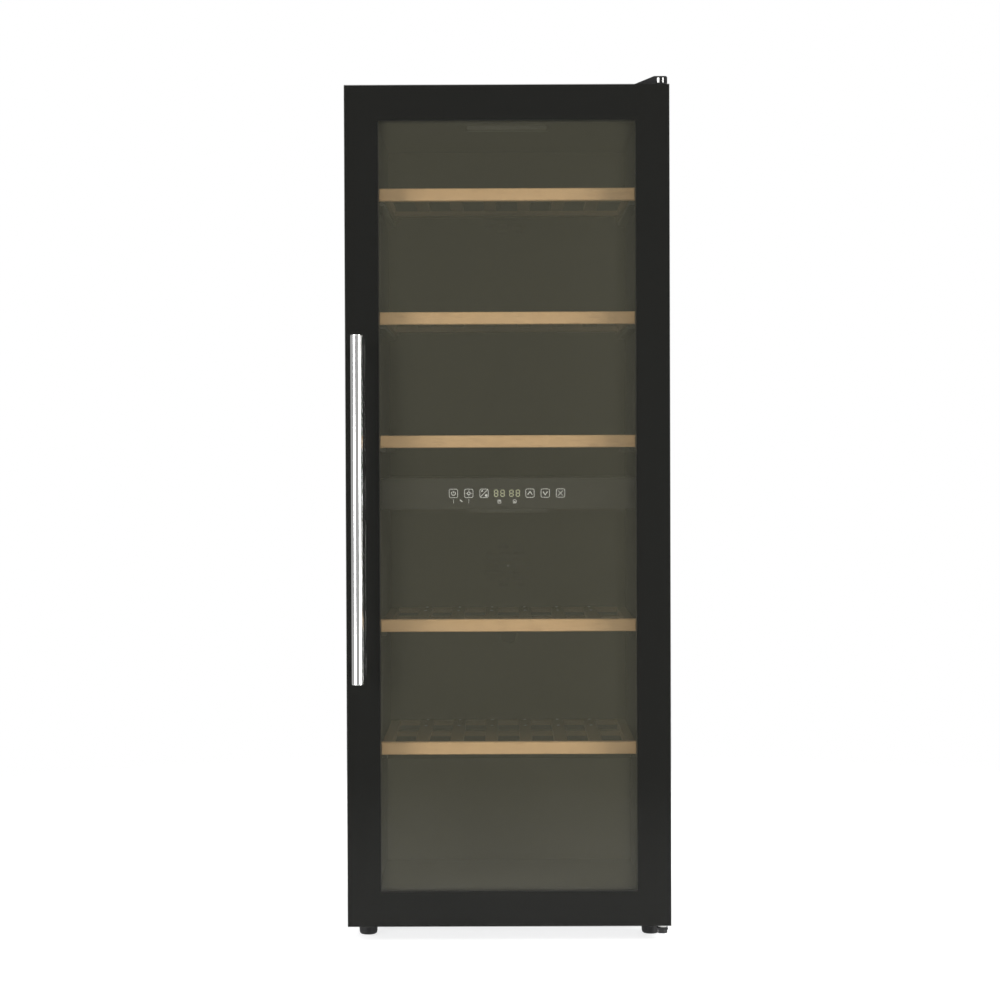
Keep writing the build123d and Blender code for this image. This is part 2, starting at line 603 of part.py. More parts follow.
# ---- Machine compartment ----
def build_machinery():
    centre_x = -HALF + COMPRESSOR_FROM_SIDE
    centre_y = (MACHINE_FRONT + BACK) / 2
    plate_low = BASE_TOP + GROMMET_HEIGHT
    plate_high = plate_low + MOUNT_PLATE_THICK
    corners = [
        (centre_x + sx * MOUNT_HALF_SPAN, centre_y + sy * MOUNT_HALF_REACH)
        for sx in (-1, 1)
        for sy in (-1, 1)
    ]
    edge = GROMMET_RADIUS + MOUNT_MARGIN
    plate_x = (centre_x - MOUNT_HALF_SPAN - edge, centre_x + MOUNT_HALF_SPAN + edge)
    plate_y = (centre_y - MOUNT_HALF_REACH - edge, centre_y + MOUNT_HALF_REACH + edge)
    plate = block(plate_x, plate_y, (plate_low, plate_high))
    dome_plane = Plane(origin=(centre_x, centre_y, plate_high))
    dome = Solid.make_cylinder(COMPRESSOR_RADIUS, COMPRESSOR_HEIGHT, dome_plane)
    top_rim = dome.edges().filter_by(GeomType.CIRCLE).sort_by(Axis.Z)[-1]
    dome = dome.fillet(COMPRESSOR_DOME, [top_rim])
    save("compressor", fused([plate, dome]))
    grommets = [
        tube(GROMMET_RADIUS, GROMMET_BORE, (x, y, BASE_TOP), (x, y, plate_low))
        for x, y in corners
    ]
    save("compressor_grommets", *grommets)

    tray_low = plate_high + COMPRESSOR_HEIGHT
    tray_x = (centre_x - TRAY_LENGTH / 2, centre_x + TRAY_LENGTH / 2)
    tray_y = (centre_y - TRAY_DEPTH / 2, centre_y + TRAY_DEPTH / 2)
    tray = block(tray_x, tray_y, (tray_low, tray_low + TRAY_HEIGHT))
    inner_x = (tray_x[0] + TRAY_WALL, tray_x[1] - TRAY_WALL)
    inner_y = (tray_y[0] + TRAY_WALL, tray_y[1] - TRAY_WALL)
    well = block(inner_x, inner_y, (tray_low + TRAY_WALL, tray_low + THROUGH))
    save("drip_tray", tray - well)

    coil_right = HALF - SHEET - CONDENSER_FROM_SIDE
    coil_left = coil_right - CONDENSER_LENGTH
    coil_y = (centre_y - CONDENSER_DEPTH / 2, centre_y + CONDENSER_DEPTH / 2)
    coil_z = (BASE_TOP, BASE_TOP + CONDENSER_HEIGHT)
    pitch = (CONDENSER_LENGTH - FIN_THICK) / (CONDENSER_FINS - 1)
    fins = []
    for i in range(CONDENSER_FINS):
        x = coil_left + i * pitch
        fins.append(block((x, x + FIN_THICK), coil_y, coil_z))
    tube_left = coil_left - CONDENSER_TUBE_OVERHANG
    tube_right = coil_right + CONDENSER_TUBE_OVERHANG
    tubes = []
    for y in (centre_y - CONDENSER_DEPTH / 4, centre_y + CONDENSER_DEPTH / 4):
        for i in range(CONDENSER_TUBE_ROWS):
            z = BASE_TOP + CONDENSER_HEIGHT * (i + 0.5) / CONDENSER_TUBE_ROWS
            tubes.append(rod(CONDENSER_TUBE_RADIUS, (tube_left, y, z), (tube_right, y, z)))
    save("condenser", fused([*fins, *tubes]))

    fan_z = BASE_TOP + CONDENSER_HEIGHT / 2
    rotor_right = coil_left - CONDENSER_FAN_GAP
    towards_left = Plane(origin=(0, 0, 0), x_dir=(0, 1, 0), z_dir=(-1, 0, 0)).location
    turned = towards_left * rotor(FAN_RADIUS, FAN_THICK)
    save("fan_rotor_condenser", Pos(rotor_right, centre_y, fan_z) * turned)
    motor_right = rotor_right - FAN_THICK - MOTOR_GAP
    can = towards_left * motor(CONDENSER_MOTOR_LENGTH, FAN_THICK)
    stand_right = motor_right - CONDENSER_MOTOR_LENGTH
    stand_left = stand_right - FAN_STAND_THICK
    stand_y = (centre_y - FAN_STAND_WIDTH / 2, centre_y + FAN_STAND_WIDTH / 2)
    post = block((stand_left, stand_right), stand_y, (BASE_TOP, fan_z + MOTOR_RADIUS))
    toe_x = (stand_left, stand_right + FAN_STAND_TOE)
    toe = block(toe_x, stand_y, (BASE_TOP, BASE_TOP + FAN_STAND_THICK))
    save("fan_stand_condenser", fused([post, toe]))
    return Pos(motor_right, centre_y, fan_z) * can


def build_machine_cover():
    inlet_x_middle = -HALF + INLET_FROM_SIDE
    inlet_z_middle = BASE_TOP + INLET_FROM_BASE

    def inlet_block(side_gap, end_gap, y):
        half_x = INLET_WIDTH / 2 - side_gap
        half_z = INLET_HEIGHT / 2 - end_gap
        x = (inlet_x_middle - half_x, inlet_x_middle + half_x)
        return block(x, y, (inlet_z_middle - half_z, inlet_z_middle + half_z))

    sheet_x = (-HALF + SHEET, HALF - SHEET)
    cover = block(sheet_x, (REAR - SHEET, REAR), (BASE_TOP, MACHINE_TOP))
    cut_y = (REAR - SHEET - 1, REAR + 1)
    hole = inlet_block(0, 0, cut_y)
    tools = [hole]
    for column in range(LOUVRE_COLUMNS):
        middle = (column - (LOUVRE_COLUMNS - 1) / 2) * LOUVRE_COLUMN_PITCH
        slot_x = (middle - LOUVRE_WIDTH / 2, middle + LOUVRE_WIDTH / 2)
        if slot_x[0] < hole.bounding_box().max.X:
            continue
        for i in range(LOUVRES):
            z = BASE_TOP + LOUVRE_ABOVE_BASE + i * LOUVRE_PITCH
            tools.append(block(slot_x, cut_y, (z, z + LOUVRE_HEIGHT)))
    save("machine_cover", cut(cover, tools))

    socket_front = BACK - INLET_DEPTH
    gap = INLET_CLEARANCE
    socket = inlet_block(gap, gap, (socket_front, BACK))
    well_y = (socket_front + INLET_FLOOR, BACK + 1)
    well = inlet_block(gap + INLET_WELL_SIDE, gap + INLET_WELL_END, well_y)
    blade_y = (socket_front + INLET_FLOOR - 1, BACK - INLET_FLOOR)
    half_height = INLET_BLADE_HEIGHT / 2
    blade_z = (inlet_z_middle - half_height, inlet_z_middle + half_height)
    blades = []
    for i in (-1, 0, 1):
        x = inlet_x_middle + i * INLET_BLADE_PITCH
        blade_x = (x - INLET_BLADE_WIDTH / 2, x + INLET_BLADE_WIDTH / 2)
        blades.append(block(blade_x, blade_y, blade_z))
    save("power_inlet", fused([socket - well, *blades]))


# ---- Door ----
def handle_ends():
    """The lowest and highest point of the handle bar."""
    middle = (DOOR_LOW + DOOR_HIGH) / 2 - HANDLE_BELOW_CENTRE
    return middle - HANDLE_LENGTH / 2, middle + HANDLE_LENGTH / 2


def handle_posts():
    """The height of each handle post."""
    low, high = handle_ends()
    return low + POST_FROM_END, high - POST_FROM_END


def build_door_glazing():
    z = (DOOR_LOW, DOOR_HIGH)
    pane_back = DOOR_FRONT + OUTER_PANE
    outer = block((-HALF, HALF), (DOOR_FRONT, pane_back), z)
    corners = outer.edges().filter_by(Axis.Y)
    outer = outer.fillet(PANE_CORNER, corners)
    save("door_glass_outer", cut(outer, handle_screw_tools()))

    rebate_x = HALF - DOOR_SIDE_BORDER + SPACER_WIDTH
    rebate_inset = DOOR_BORDER - SPACER_WIDTH
    rebate_z = (DOOR_LOW + rebate_inset, DOOR_HIGH - rebate_inset)
    spacer_back = pane_back + SPACER_DEPTH
    spacer_y = (pane_back, spacer_back)
    spacer = frame_pieces(rebate_x, rebate_z, SPACER_WIDTH, SPACER_WIDTH, spacer_y)
    save("glazing_spacer", *spacer)
    inner_back = spacer_back + INNER_PANE
    gap = PANE_CLEARANCE
    inner_z = (rebate_z[0] + gap, rebate_z[1] - gap)
    inner_x = (-rebate_x + gap, rebate_x - gap)
    save("door_glass_inner", block(inner_x, (spacer_back, inner_back), inner_z))

    frame_x = HALF - FRAME_INSET
    frame_z = (DOOR_LOW + FRAME_INSET, DOOR_HIGH - FRAME_INSET)
    side_bar = DOOR_SIDE_BORDER - FRAME_INSET
    end_bar = DOOR_BORDER - FRAME_INSET
    bars = frame_pieces(frame_x, frame_z, side_bar, end_bar, (pane_back, DOOR_BACK))
    rebate = block((-rebate_x, rebate_x), (pane_back - 1, inner_back), rebate_z)
    tools = [rebate, *handle_screw_tools(), *bush_tools()]
    save("door_frame", *[cut(bar, tools) for bar in bars])

    gasket_y = (DOOR_BACK, FRONT - GASKET_CLEARANCE)
    gasket_z = (DOOR_LOW + GASKET_INSET, DOOR_HIGH - GASKET_INSET)
    gasket_x = HALF - GASKET_INSET
    gasket = frame_pieces(gasket_x, gasket_z, GASKET_WIDTH, GASKET_WIDTH, gasket_y)
    save("door_gasket", *gasket)


def handle_screw_tools():
    """Counterbored holes through the pane and the left upright for the handle's screws."""
    x = HANDLE_X
    shank = HANDLE_SCREW_RADIUS + HANDLE_SCREW_CLEARANCE
    head = HANDLE_SCREW_HEAD + HANDLE_SCREW_CLEARANCE
    tools = []
    for z in handle_posts():
        tools.append(rod(shank, (x, DOOR_FRONT - 1, z), (x, HANDLE_SEAT + 1, z)))
        tools.append(rod(head, (x, HANDLE_SEAT, z), (x, DOOR_BACK + 1, z)))
    return tools


def build_handle():
    x = HANDLE_X
    low, high = handle_ends()
    wall = rod(HANDLE_RADIUS, (x, HANDLE_Y, low), (x, HANDLE_Y, high))
    save("handle_bar", wall.fillet(HANDLE_END_ROUND, wall.edges().filter_by(GeomType.CIRCLE)))
    tip = DOOR_FRONT - HANDLE_SCREW_BITE
    head_back = HANDLE_SEAT + HANDLE_SCREW_HEAD_HEIGHT
    thread = HANDLE_SCREW_RADIUS + RUNNING_CLEARANCE
    posts = []
    screws = []
    for z in handle_posts():
        saddle = rod(POST_RADIUS, (x, HANDLE_Y, z), (x, DOOR_FRONT, z))
        bore = rod(thread, (x, tip - 1, z), (x, DOOR_FRONT + 1, z))
        posts.append(saddle - wall - bore)
        shank = rod(HANDLE_SCREW_RADIUS, (x, tip, z), (x, HANDLE_SEAT + 1, z))
        head = rod(HANDLE_SCREW_HEAD, (x, HANDLE_SEAT, z), (x, head_back, z))
        screws.append(fused([shank, head]))
    save("handle_posts", *posts)
    save("handle_screws", *screws)


# ---- Hinges ----
def pin_heights():
    """Where each hinge pin enters the door, as its mouth and its deep end."""
    top = (DOOR_HIGH - FRAME_INSET, DOOR_HIGH - FRAME_INSET - PIN_DEPTH)
    bottom = (DOOR_LOW + FRAME_INSET, DOOR_LOW + FRAME_INSET + PIN_DEPTH)
    return {"top": (top, 1), "bottom": (bottom, -1)}


def bush_tools():
    """Bores in the door frame for the hinge bushes, and a hole in line with each."""
    tools = []
    for (mouth, deep), out in pin_heights().values():
        start = (HINGE_X, HINGE_Y, mouth + out)
        tools.append(rod(BUSH_RADIUS, start, (HINGE_X, HINGE_Y, deep - out * PIN_TIP_GAP)))
    return tools


def pin_head(name, far):
    """A round head over the top bracket, and a nut under the bottom one."""
    if name == "top":
        start = (HINGE_X, HINGE_Y, far)
        return rod(PIN_HEAD_RADIUS, start, (HINGE_X, HINGE_Y, far + PIN_HEAD_HEIGHT))
    corner = Pos(HINGE_X, HINGE_Y, far - PIN_NUT_HEIGHT)
    outline = RegularPolygon(PIN_NUT_RADIUS, 6, rotation=PIN_NUT_TURN)
    return corner * extrude(outline, amount=PIN_NUT_HEIGHT).solid()


def top_bracket(near, far):
    """A plate over the door that runs back along the cabinet's top."""
    x = (HINGE_X - TOP_BRACKET_REACH, HINGE_X + BRACKET_HALF_WIDTH)
    back = HINGE_Y + TOP_BRACKET_LENGTH
    plate = block(x, (HINGE_Y - BRACKET_HALF_WIDTH, back), (near, far))
    riser = block(x, (FRONT + BRACKET_STEP_SETBACK, back), (TOP, near + 1))
    return fused([plate, riser])


def bottom_bracket(near, far):
    """A bent plate: under the door, up to the cabinet's base, and back along it."""
    right = HINGE_X + BRACKET_HALF_WIDTH
    step = FRONT + BRACKET_STEP_SETBACK
    narrow = (HINGE_X - BRACKET_HALF_WIDTH, right)
    low_y = (HINGE_Y - BRACKET_HALF_WIDTH, step + BRACKET_THICK)
    under_door = block(narrow, low_y, (far, near))
    web = block(narrow, (step, step + BRACKET_THICK), (far, BASE))
    high_y = (step, HINGE_Y + BOTTOM_BRACKET_LENGTH)
    wide = (HINGE_X - BOTTOM_BRACKET_REACH, right)
    under_cabinet = block(wide, high_y, (BASE - BRACKET_THICK, BASE))
    return fused([under_door, web, under_cabinet])


def build_hinges():
    bushes = []
    pins = []
    for name, ((mouth, deep), out) in pin_heights().items():
        face = DOOR_HIGH if out > 0 else DOOR_LOW
        gap = BRACKET_GAP if out > 0 else BOTTOM_BRACKET_GAP
        near = face + out * gap
        far = near + out * BRACKET_THICK
        end = (HINGE_X, HINGE_Y, mouth + out * (BUSH_PROUD + gap - BRACKET_GAP))
        start = (HINGE_X, HINGE_Y, deep - out * PIN_TIP_GAP)
        bushes.append(tube(BUSH_RADIUS, PIN_RADIUS + RUNNING_CLEARANCE, start, end))
        pin = rod(PIN_RADIUS, (HINGE_X, HINGE_Y, deep), (HINGE_X, HINGE_Y, far + out))
        pins.append(fused([pin, pin_head(name, far)]))

        bracket = top_bracket(near, far) if out > 0 else bottom_bracket(near, far)
        hole = rod(PIN_RADIUS, (HINGE_X, HINGE_Y, near - out), (HINGE_X, HINGE_Y, far + out))
        save(f"hinge_bracket_{name}", cut(bracket, [hole, *screw_clearance()]))

    save("hinge_bushes", *bushes)
    save("hinge_pins", *pins)
    screws = []
    for x, y, z, way in hinge_screw_places():
        shank = rod(HINGE_SCREW_RADIUS, (x, y, z - way), (x, y, z + way * HINGE_SCREW_LENGTH))
        head = rod(HINGE_SCREW_HEAD_RADIUS, (x, y, z), (x, y, z - way * HINGE_SCREW_HEAD))
        screws.append(fused([shank, head]))
    save("hinge_screws", *screws)


def wedge(inset, y, low):
    """The hinge cover's outline, moved in by a wall thickness and run along the depth."""
    right = COVER_RIGHT - inset
    high = COVER_TOP - inset
    left = COVER_RIGHT - COVER_WIDTH + inset * COVER_WIDTH / COVER_SLOPE
    shoulder = COVER_RIGHT - COVER_WIDTH + COVER_SLOPE + inset
    points = [(left, BRACKET_NEAR_TOP), (shoulder, high), (right, high), (right, low)]
    if low < BRACKET_NEAR_TOP:
        points.append((left, low))
    outline = Wire.make_polygon([Vector(x, y[0], z) for x, z in points], close=True)
    return Solid.extrude(Face(outline), Vector(0, y[1] - y[0], 0))


def build_hinge_cover():
    front = HINGE_Y - BRACKET_HALF_WIDTH - COVER_CLEARANCE
    back = HINGE_Y + TOP_BRACKET_LENGTH + COVER_CLEARANCE
    step = FRONT + BRACKET_STEP_SETBACK
    over_door = wedge(0, (front, step), BRACKET_NEAR_TOP)
    over_cabinet = wedge(0, (step, back), TOP)
    shell = fused([over_door, over_cabinet])
    ridge = shell.edges().filter_by(Axis.Y).sort_by(SortBy.LENGTH)
    ridge = [e for e in ridge if e.center().X > COVER_RIGHT - 1 and e.center().Z > COVER_TOP - 1]
    shell = shell.fillet(COVER_ROUND, ridge)
    hollow = wedge(COVER_WALL, (front + COVER_WALL, back - COVER_WALL), TOP - 1)
    slot_z = (BRACKET_NEAR_TOP + BRACKET_THICK, COVER_TOP - COVER_CAP)
    slots = []
    for from_side, wide in COVER_SLOTS:
        slot_x = (HALF - from_side - wide / 2, HALF - from_side + wide / 2)
        slots.append(block(slot_x, (front - 1, front + COVER_WALL + 1), slot_z))
    save("hinge_cover", cut(shell, [hollow, *slots]))


def main():
    os.makedirs("parts", exist_ok=True)
    build_side_panels()
    build_top_and_back()
    build_base()
    build_collar()
    build_liner_and_foam()
    build_feet()
    for number, top in enumerate(SHELF_TOPS, 1):
        build_shelf(number, top)
    build_runners()
    build_divider()
    build_lights()
    build_filter()
    upper_motor = build_zone("upper", DIVIDER_HIGH, CAVITY_HIGH)
    lower_motor = build_zone("lower", STEP_TOP, DIVIDER_LOW)
    save("fan_motors", upper_motor, lower_motor, build_machinery())
    build_machine_cover()
    build_door_glazing()
    build_handle()
    build_hinges()
    build_hinge_cover()


main()
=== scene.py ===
import math

import bmesh
import bpy
from mathutils import Matrix, Vector


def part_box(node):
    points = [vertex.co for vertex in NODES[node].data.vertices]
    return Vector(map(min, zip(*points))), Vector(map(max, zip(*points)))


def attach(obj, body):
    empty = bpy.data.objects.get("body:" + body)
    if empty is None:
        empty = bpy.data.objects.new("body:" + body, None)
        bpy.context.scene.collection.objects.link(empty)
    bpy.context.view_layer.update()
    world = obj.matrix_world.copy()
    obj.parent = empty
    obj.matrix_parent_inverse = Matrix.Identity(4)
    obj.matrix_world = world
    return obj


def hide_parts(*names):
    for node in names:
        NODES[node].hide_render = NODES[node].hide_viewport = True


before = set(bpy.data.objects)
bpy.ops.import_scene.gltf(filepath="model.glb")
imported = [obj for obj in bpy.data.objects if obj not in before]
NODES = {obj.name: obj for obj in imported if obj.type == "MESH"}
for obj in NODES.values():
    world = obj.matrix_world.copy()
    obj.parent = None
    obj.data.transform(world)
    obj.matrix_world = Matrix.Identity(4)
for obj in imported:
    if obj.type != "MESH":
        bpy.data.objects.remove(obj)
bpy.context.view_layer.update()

for packed in list(bpy.data.materials):
    bpy.data.materials.remove(packed)

SHELVES = [f"shelf_{number}" for number in range(1, 6)]
FEET = [name for name in NODES if name.startswith("foot_") and name != "foot_sockets"]

# ---- Sizes of the finishing pieces, in metres ----
MM = 0.001

# The door seal's fold, as (inward, out) in millimetres from the corner of the plain gasket.
SEAL_FOLD = (
    (0.0, 0.0), (14.0, 0.0), (14.0, 1.1), (11.2, 1.7), (10.8, 2.4), (13.2, 3.2),
    (13.4, 3.9), (10.9, 4.6), (10.7, 5.0), (12.6, 5.4), (13.0, 5.9), (12.9, 7.0),
    (12.3, 7.5), (1.7, 7.5), (1.1, 7.0), (1.0, 5.9), (1.4, 5.4), (3.3, 5.0),
    (3.1, 4.6), (0.6, 3.9), (0.8, 3.2), (3.2, 2.4), (2.8, 1.7), (0.0, 1.1),
)
SEAL_FOLD_DEPTH = 7.5

# The black border: its lap over the spacer, its rim of bare glass, its depth in the pane.
PRINT_LAP = 10.0 * MM
PRINT_RIM = 0.6 * MM
PRINT_DEPTHS = (0.35 * MM, 0.10 * MM)

# A handle washer's rings, as (beyond the post, out from the glass) in millimetres.
WASHER_RINGS = ((0.2, 0.0), (2.6, 0.0), (2.9, 0.6), (2.2, 1.7), (0.2, 2.0))
WASHER_SIDES = 40

# The touch panel's marks.
SYMBOL_LIFT = 0.25 * MM
KEYS = 8
KEY_PITCH = 28.35 * MM
KEYS_ASIDE = -1.8 * MM
KEY_ROW_RISE = 29.3 * MM
MARK_ROW_DROP = 15.3 * MM
KEY_FRAME_HALF = 7.8 * MM
KEY_FRAME_ROUND = 2.8 * MM
FIGURE_ASIDE = 6.0 * MM
FIGURE_HALF_WIDTH = 3.2 * MM
FIGURE_HALF_HEIGHT = 5.8 * MM
SEGMENT_WIDTH = 1.3 * MM
SEGMENT_GAP = 0.7 * MM

# The lamps of the light bars.
LAMPS = 14
LAMP_STEP = 10.0 * MM
LAMP_RINGS = ((2.0 * MM, 0), (1.8 * MM, 0.4 * MM), (1.0 * MM, 0.8 * MM))
UPPER_LAMPS_DROP = 3.6 * MM
LOWER_LAMPS_RISE = 5.4 * MM

# The grip ribs of the levelling feet.
RIBS = 30
RIB_RADIUS = 0.6 * MM
RIB_HEIGHT = 8.4 * MM
RIB_MIDDLE = 10.0 * MM
RIB_SUNK = 0.2 * MM

# The screws: heads are (radius, height); rear screws are (across, up) round each sheet.
SLATS = 6
SLAT_PITCH = 65.5 * MM
SLAT_SCREWS_Y = (-0.190, 0.090, 0.200)
SLAT_SCREW = (2.8 * MM, 1.2 * MM)
REAR_SCREW = (4.2 * MM, 1.5 * MM)
REAR_SCREWS = {"back_panel": (5, 7), "machine_cover": (5, 2)}
REAR_SCREW_INSET = 9.0 * MM

# Pale pieces in the hinge cover's slots, as (in from the door's side, half width): painted light
# for the bright light that shows through the slots.
HINGE_SLOT_LIGHTS = ((19.9 * MM, 2.0 * MM), (11.2 * MM, 1.1 * MM))
SLOT_LIGHT_TOP_DROP = 2.8 * MM
SLOT_LIGHT_BOTTOM_DROP = 11.7 * MM
SLOT_LIGHT_ROUND = 0.4 * MM


# ---- Shader building ----
class Number:
    """A socket that can be used in ordinary sums."""

    def __init__(self, finish, socket):
        self.finish = finish
        self.socket = socket

    def sum_with(self, operation, first, second):
        settings = {"operation": operation}
        made = self.finish.node("ShaderNodeMath", settings, {0: first, 1: second})
        return Number(self.finish, made.outputs[0])

    def __add__(self, other):
        return self.sum_with("ADD", self, other)

    def __radd__(self, other):
        return self.sum_with("ADD", other, self)

    def __mul__(self, other):
        return self.sum_with("MULTIPLY", self, other)

    def __rmul__(self, other):
        return self.sum_with("MULTIPLY", other, self)


# Shader inputs whose names don't follow from the words in snake case.
SOCKET_NAMES = {"ior": "IOR", "specular_ior_level": "Specular IOR Level"}


class Tree:
    """A node tree, with one way of adding any node to it."""

    def __init__(self, tree):
        self.tree = tree

    def node(self, kind, settings=None, inputs=None):
        """Adds a node: its settings first, then the values or links of its sockets."""
        made = self.tree.nodes.new(kind)
        for key, value in (settings or {}).items():
            if key == "stops":
                self.set_stops(made.color_ramp, value)
            else:
                setattr(made, key, value)
        for key, value in (inputs or {}).items():
            self.feed(made.inputs[key], value)
        return made

    def set_stops(self, ramp, stops):
        """Stops of (position, grey level)."""
        while len(ramp.elements) < len(stops):
            ramp.elements.new(0.5)
        for element, (position, level) in zip(ramp.elements, stops):
            element.position = position
            element.color = (level, level, level, 1)

    def feed(self, socket, value):
        if isinstance(value, Number):
            self.tree.links.new(value.socket, socket)
        elif isinstance(value, bpy.types.NodeSocket):
            self.tree.links.new(value, socket)
        elif value is not None:
            socket.default_value = value


class Finish(Tree):
    """A material being made."""

    def __init__(self, name):
        self.material = bpy.data.materials.new(name)
        self.material.use_nodes = True
        super().__init__(self.material.node_tree)
        self.tree.nodes.clear()
        self.place = self.node("ShaderNodeTexCoord").outputs["Object"]

    def stretched(self, scale, turn=(0, 0, 0)):
        """Object coordinates, scaled along each axis."""
        inputs = {"Vector": self.place, "Scale": scale, "Rotation": turn}
        return self.node("ShaderNodeMapping", None, inputs).outputs["Vector"]

    def noise(self, scale, detail=3.0, along=None, rough=0.5, warp=0.0):
        """Soft noise from 0 to 1, in object coordinates unless others are given."""
        inputs = {"Vector": along or self.place, "Scale": scale, "Detail": detail}
        inputs.update({"Roughness": rough, "Distortion": warp})
        made = self.node("ShaderNodeTexNoise", None, inputs)
        return Number(self, made.outputs["Fac"])

    def cells(self, scale, output="Distance", feature="F1"):
        inputs = {"Vector": self.place, "Scale": scale}
        made = self.node("ShaderNodeTexVoronoi", {"feature": feature}, inputs)
        return made.outputs[output]

    def ramp(self, value, stops):
        made = self.node("ShaderNodeValToRGB", {"stops": stops}, {"Fac": value})
        return Number(self, made.outputs["Color"])

    def mixed(self, share, first, second):
        """One colour turning into another."""
        made = self.node("ShaderNodeMix", {"data_type": "RGBA"})
        self.feed(made.inputs[0], share)
        for socket, colour in zip((made.inputs[6], made.inputs[7]), (first, second)):
            self.feed(socket, rgba(colour) if isinstance(colour, tuple) else colour)
        return made.outputs[2]

    def bumped(self, height, strength, distance):
        inputs = {"Height": height, "Strength": strength, "Distance": distance}
        return self.node("ShaderNodeBump", None, inputs).outputs["Normal"]

    def surface(self, **inputs):
        """Ends the material in a Principled shader. Inputs are named in snake case."""
        named = {}
        for key, value in inputs.items():
            named[SOCKET_NAMES.get(key, key.replace("_", " ").title())] = value
        for key in ("Base Color", "Emission Color"):
            if isinstance(named.get(key), tuple):
                named[key] = rgba(named[key])
        shader = self.node("ShaderNodeBsdfPrincipled", None, named)
        out = self.node("ShaderNodeOutputMaterial")
        self.tree.links.new(shader.outputs[0], out.inputs["Surface"])
        return self.material


def rgba(colour):
    return (*colour, 1.0) if len(colour) == 3 else colour


def grey(level):
    return (level, level, level)


# ---- Finishes ----
def fine_textured_paint(name, colour, light, rough, shine=0.5):
    """Coated steel with a fine orange-peel skin."""
    f = Finish(name)
    tone = f.noise(6.0, 4.0)
    peel = f.noise(900.0, 2.0)
    return f.surface(
        base_color=f.mixed(tone, colour, light),
        roughness=rough + 0.08 * f.noise(40.0),
        specular_ior_level=shine,
        normal=f.bumped(peel, 0.25, 0.0003),
    )


def galvanised_steel():
    """Zinc-coated sheet with its patchwork of dull spangles."""
    f = Finish("galvanised_sheet")
    spangle = f.node("ShaderNodeSeparateColor", None, {"Color": f.cells(140.0, "Color")})
    tone = Number(f, spangle.outputs[0])
    return f.surface(
        base_color=f.mixed(tone, (0.34, 0.35, 0.36), (0.46, 0.47, 0.48)),
        metallic=0.85,
        roughness=0.42 + 0.12 * tone,
        normal=f.bumped(f.noise(60.0), 0.05, 0.001),
    )


def foam():
    """Foamed-in insulation, yellow and open-celled."""
    f = Finish("rigid_foam")
    return f.surface(
        base_color=f.mixed(f.noise(30.0), (0.78, 0.68, 0.42), (0.86, 0.78, 0.55)),
        roughness=0.9,
        normal=f.bumped(f.cells(700.0), 0.4, 0.001),
    )


def moulded_plastic(name, colour, light, rough, shine=0.5):
    """Moulded plastic with a spark-eroded grain."""
    f = Finish(name)
    return f.surface(
        base_color=f.mixed(f.noise(4.0, 2.0), colour, light),
        roughness=rough + 0.06 * f.noise(25.0),
        specular_ior_level=shine,
        normal=f.bumped(f.noise(700.0, 2.0), 0.3, 0.0002),
    )


def tinted_glass():
    """Smoked outer pane: it darkens what is behind it and keeps a clean gloss."""
    f = Finish("tinted_glass")
    smear = f.noise(3.0, 4.0, f.stretched((1.0, 1.0, 0.35)), warp=0.6)
    return f.surface(
        base_color=f.mixed(smear, (0.016, 0.017, 0.013), (0.020, 0.020, 0.016)),
        alpha=0.13 + 0.02 * smear,
        roughness=0.015 + 0.01 * smear,
        ior=1.65,
    )


def coated_glass():
    """Inner pane with a heat-reflecting coat, which veils the inside in olive grey."""
    f = Finish("clear_glass")
    smear = f.noise(3.0, 3.0, warp=0.4)
    return f.surface(
        base_color=f.mixed(smear, (0.112, 0.106, 0.068), (0.124, 0.117, 0.076)),
        alpha=0.155 + 0.03 * smear,
        roughness=0.03 + 0.03 * smear,
        ior=1.5,
    )


def edge_print():
    """Black enamel fired on the back of the outer pane round the window."""
    f = Finish("edge_print")
    tone = f.noise(40.0, 3.0)
    return f.surface(
        base_color=f.mixed(tone, (0.0035, 0.0035, 0.0032), (0.0050, 0.0050, 0.0047)),
        roughness=0.85 + 0.1 * tone,
        specular_ior_level=0.05,
    )


def panel_glass():
    """Satin black cover of the touch panel."""
    f = Finish("panel_glass")
    haze = f.noise(8.0, 3.0)
    return f.surface(
        base_color=f.mixed(haze, (0.019, 0.0185, 0.0150), (0.023, 0.0222, 0.0180)),
        roughness=0.22 + 0.06 * haze,
        coat_weight=0.1,
        coat_roughness=0.08,
    )


def drawn_profile(name, colour, light):
    """Black extruded profile with faint lines along its run."""
    f = Finish(name)
    lines = f.noise(420.0, 2.0, f.stretched((1.0, 1.0, 0.03)))
    return f.surface(
        base_color=f.mixed(f.noise(7.0), colour, light),
        roughness=0.40 + 0.10 * lines,
        normal=f.bumped(lines, 0.08, 0.0002),
    )


def rubber(name):
    """Dull black rubber with a fine powdery skin."""
    f = Finish(name)
    return f.surface(
        base_color=f.mixed(f.noise(12.0), grey(0.018), grey(0.036)),
        roughness=0.68 + 0.10 * f.noise(60.0),
        normal=f.bumped(f.noise(1200.0, 2.0), 0.25, 0.0002),
    )


def brushed_steel(name, colour, light, rough, brush, spread):
    """Steel with brush lines: brush is the stretch of the noise along each axis."""
    f = Finish(name)
    lines = f.noise(1.0, 4.0, f.stretched(brush), rough=0.7)
    return f.surface(
        base_color=f.mixed(lines, colour, light),
        metallic=1.0,
        roughness=rough + spread * lines,
        normal=f.bumped(lines, 0.02, 0.0002),
    )


def circuit_board():
    """Green board with a net of paler tracks."""
    f = Finish("circuit_board")
    tracks = f.ramp(f.cells(160.0, feature="DISTANCE_TO_EDGE"), [(0.05, 1.0), (0.09, 0.0)])
    return f.surface(
        base_color=f.mixed(tracks, (0.02, 0.10, 0.04), (0.10, 0.26, 0.12)),
        roughness=0.35,
    )


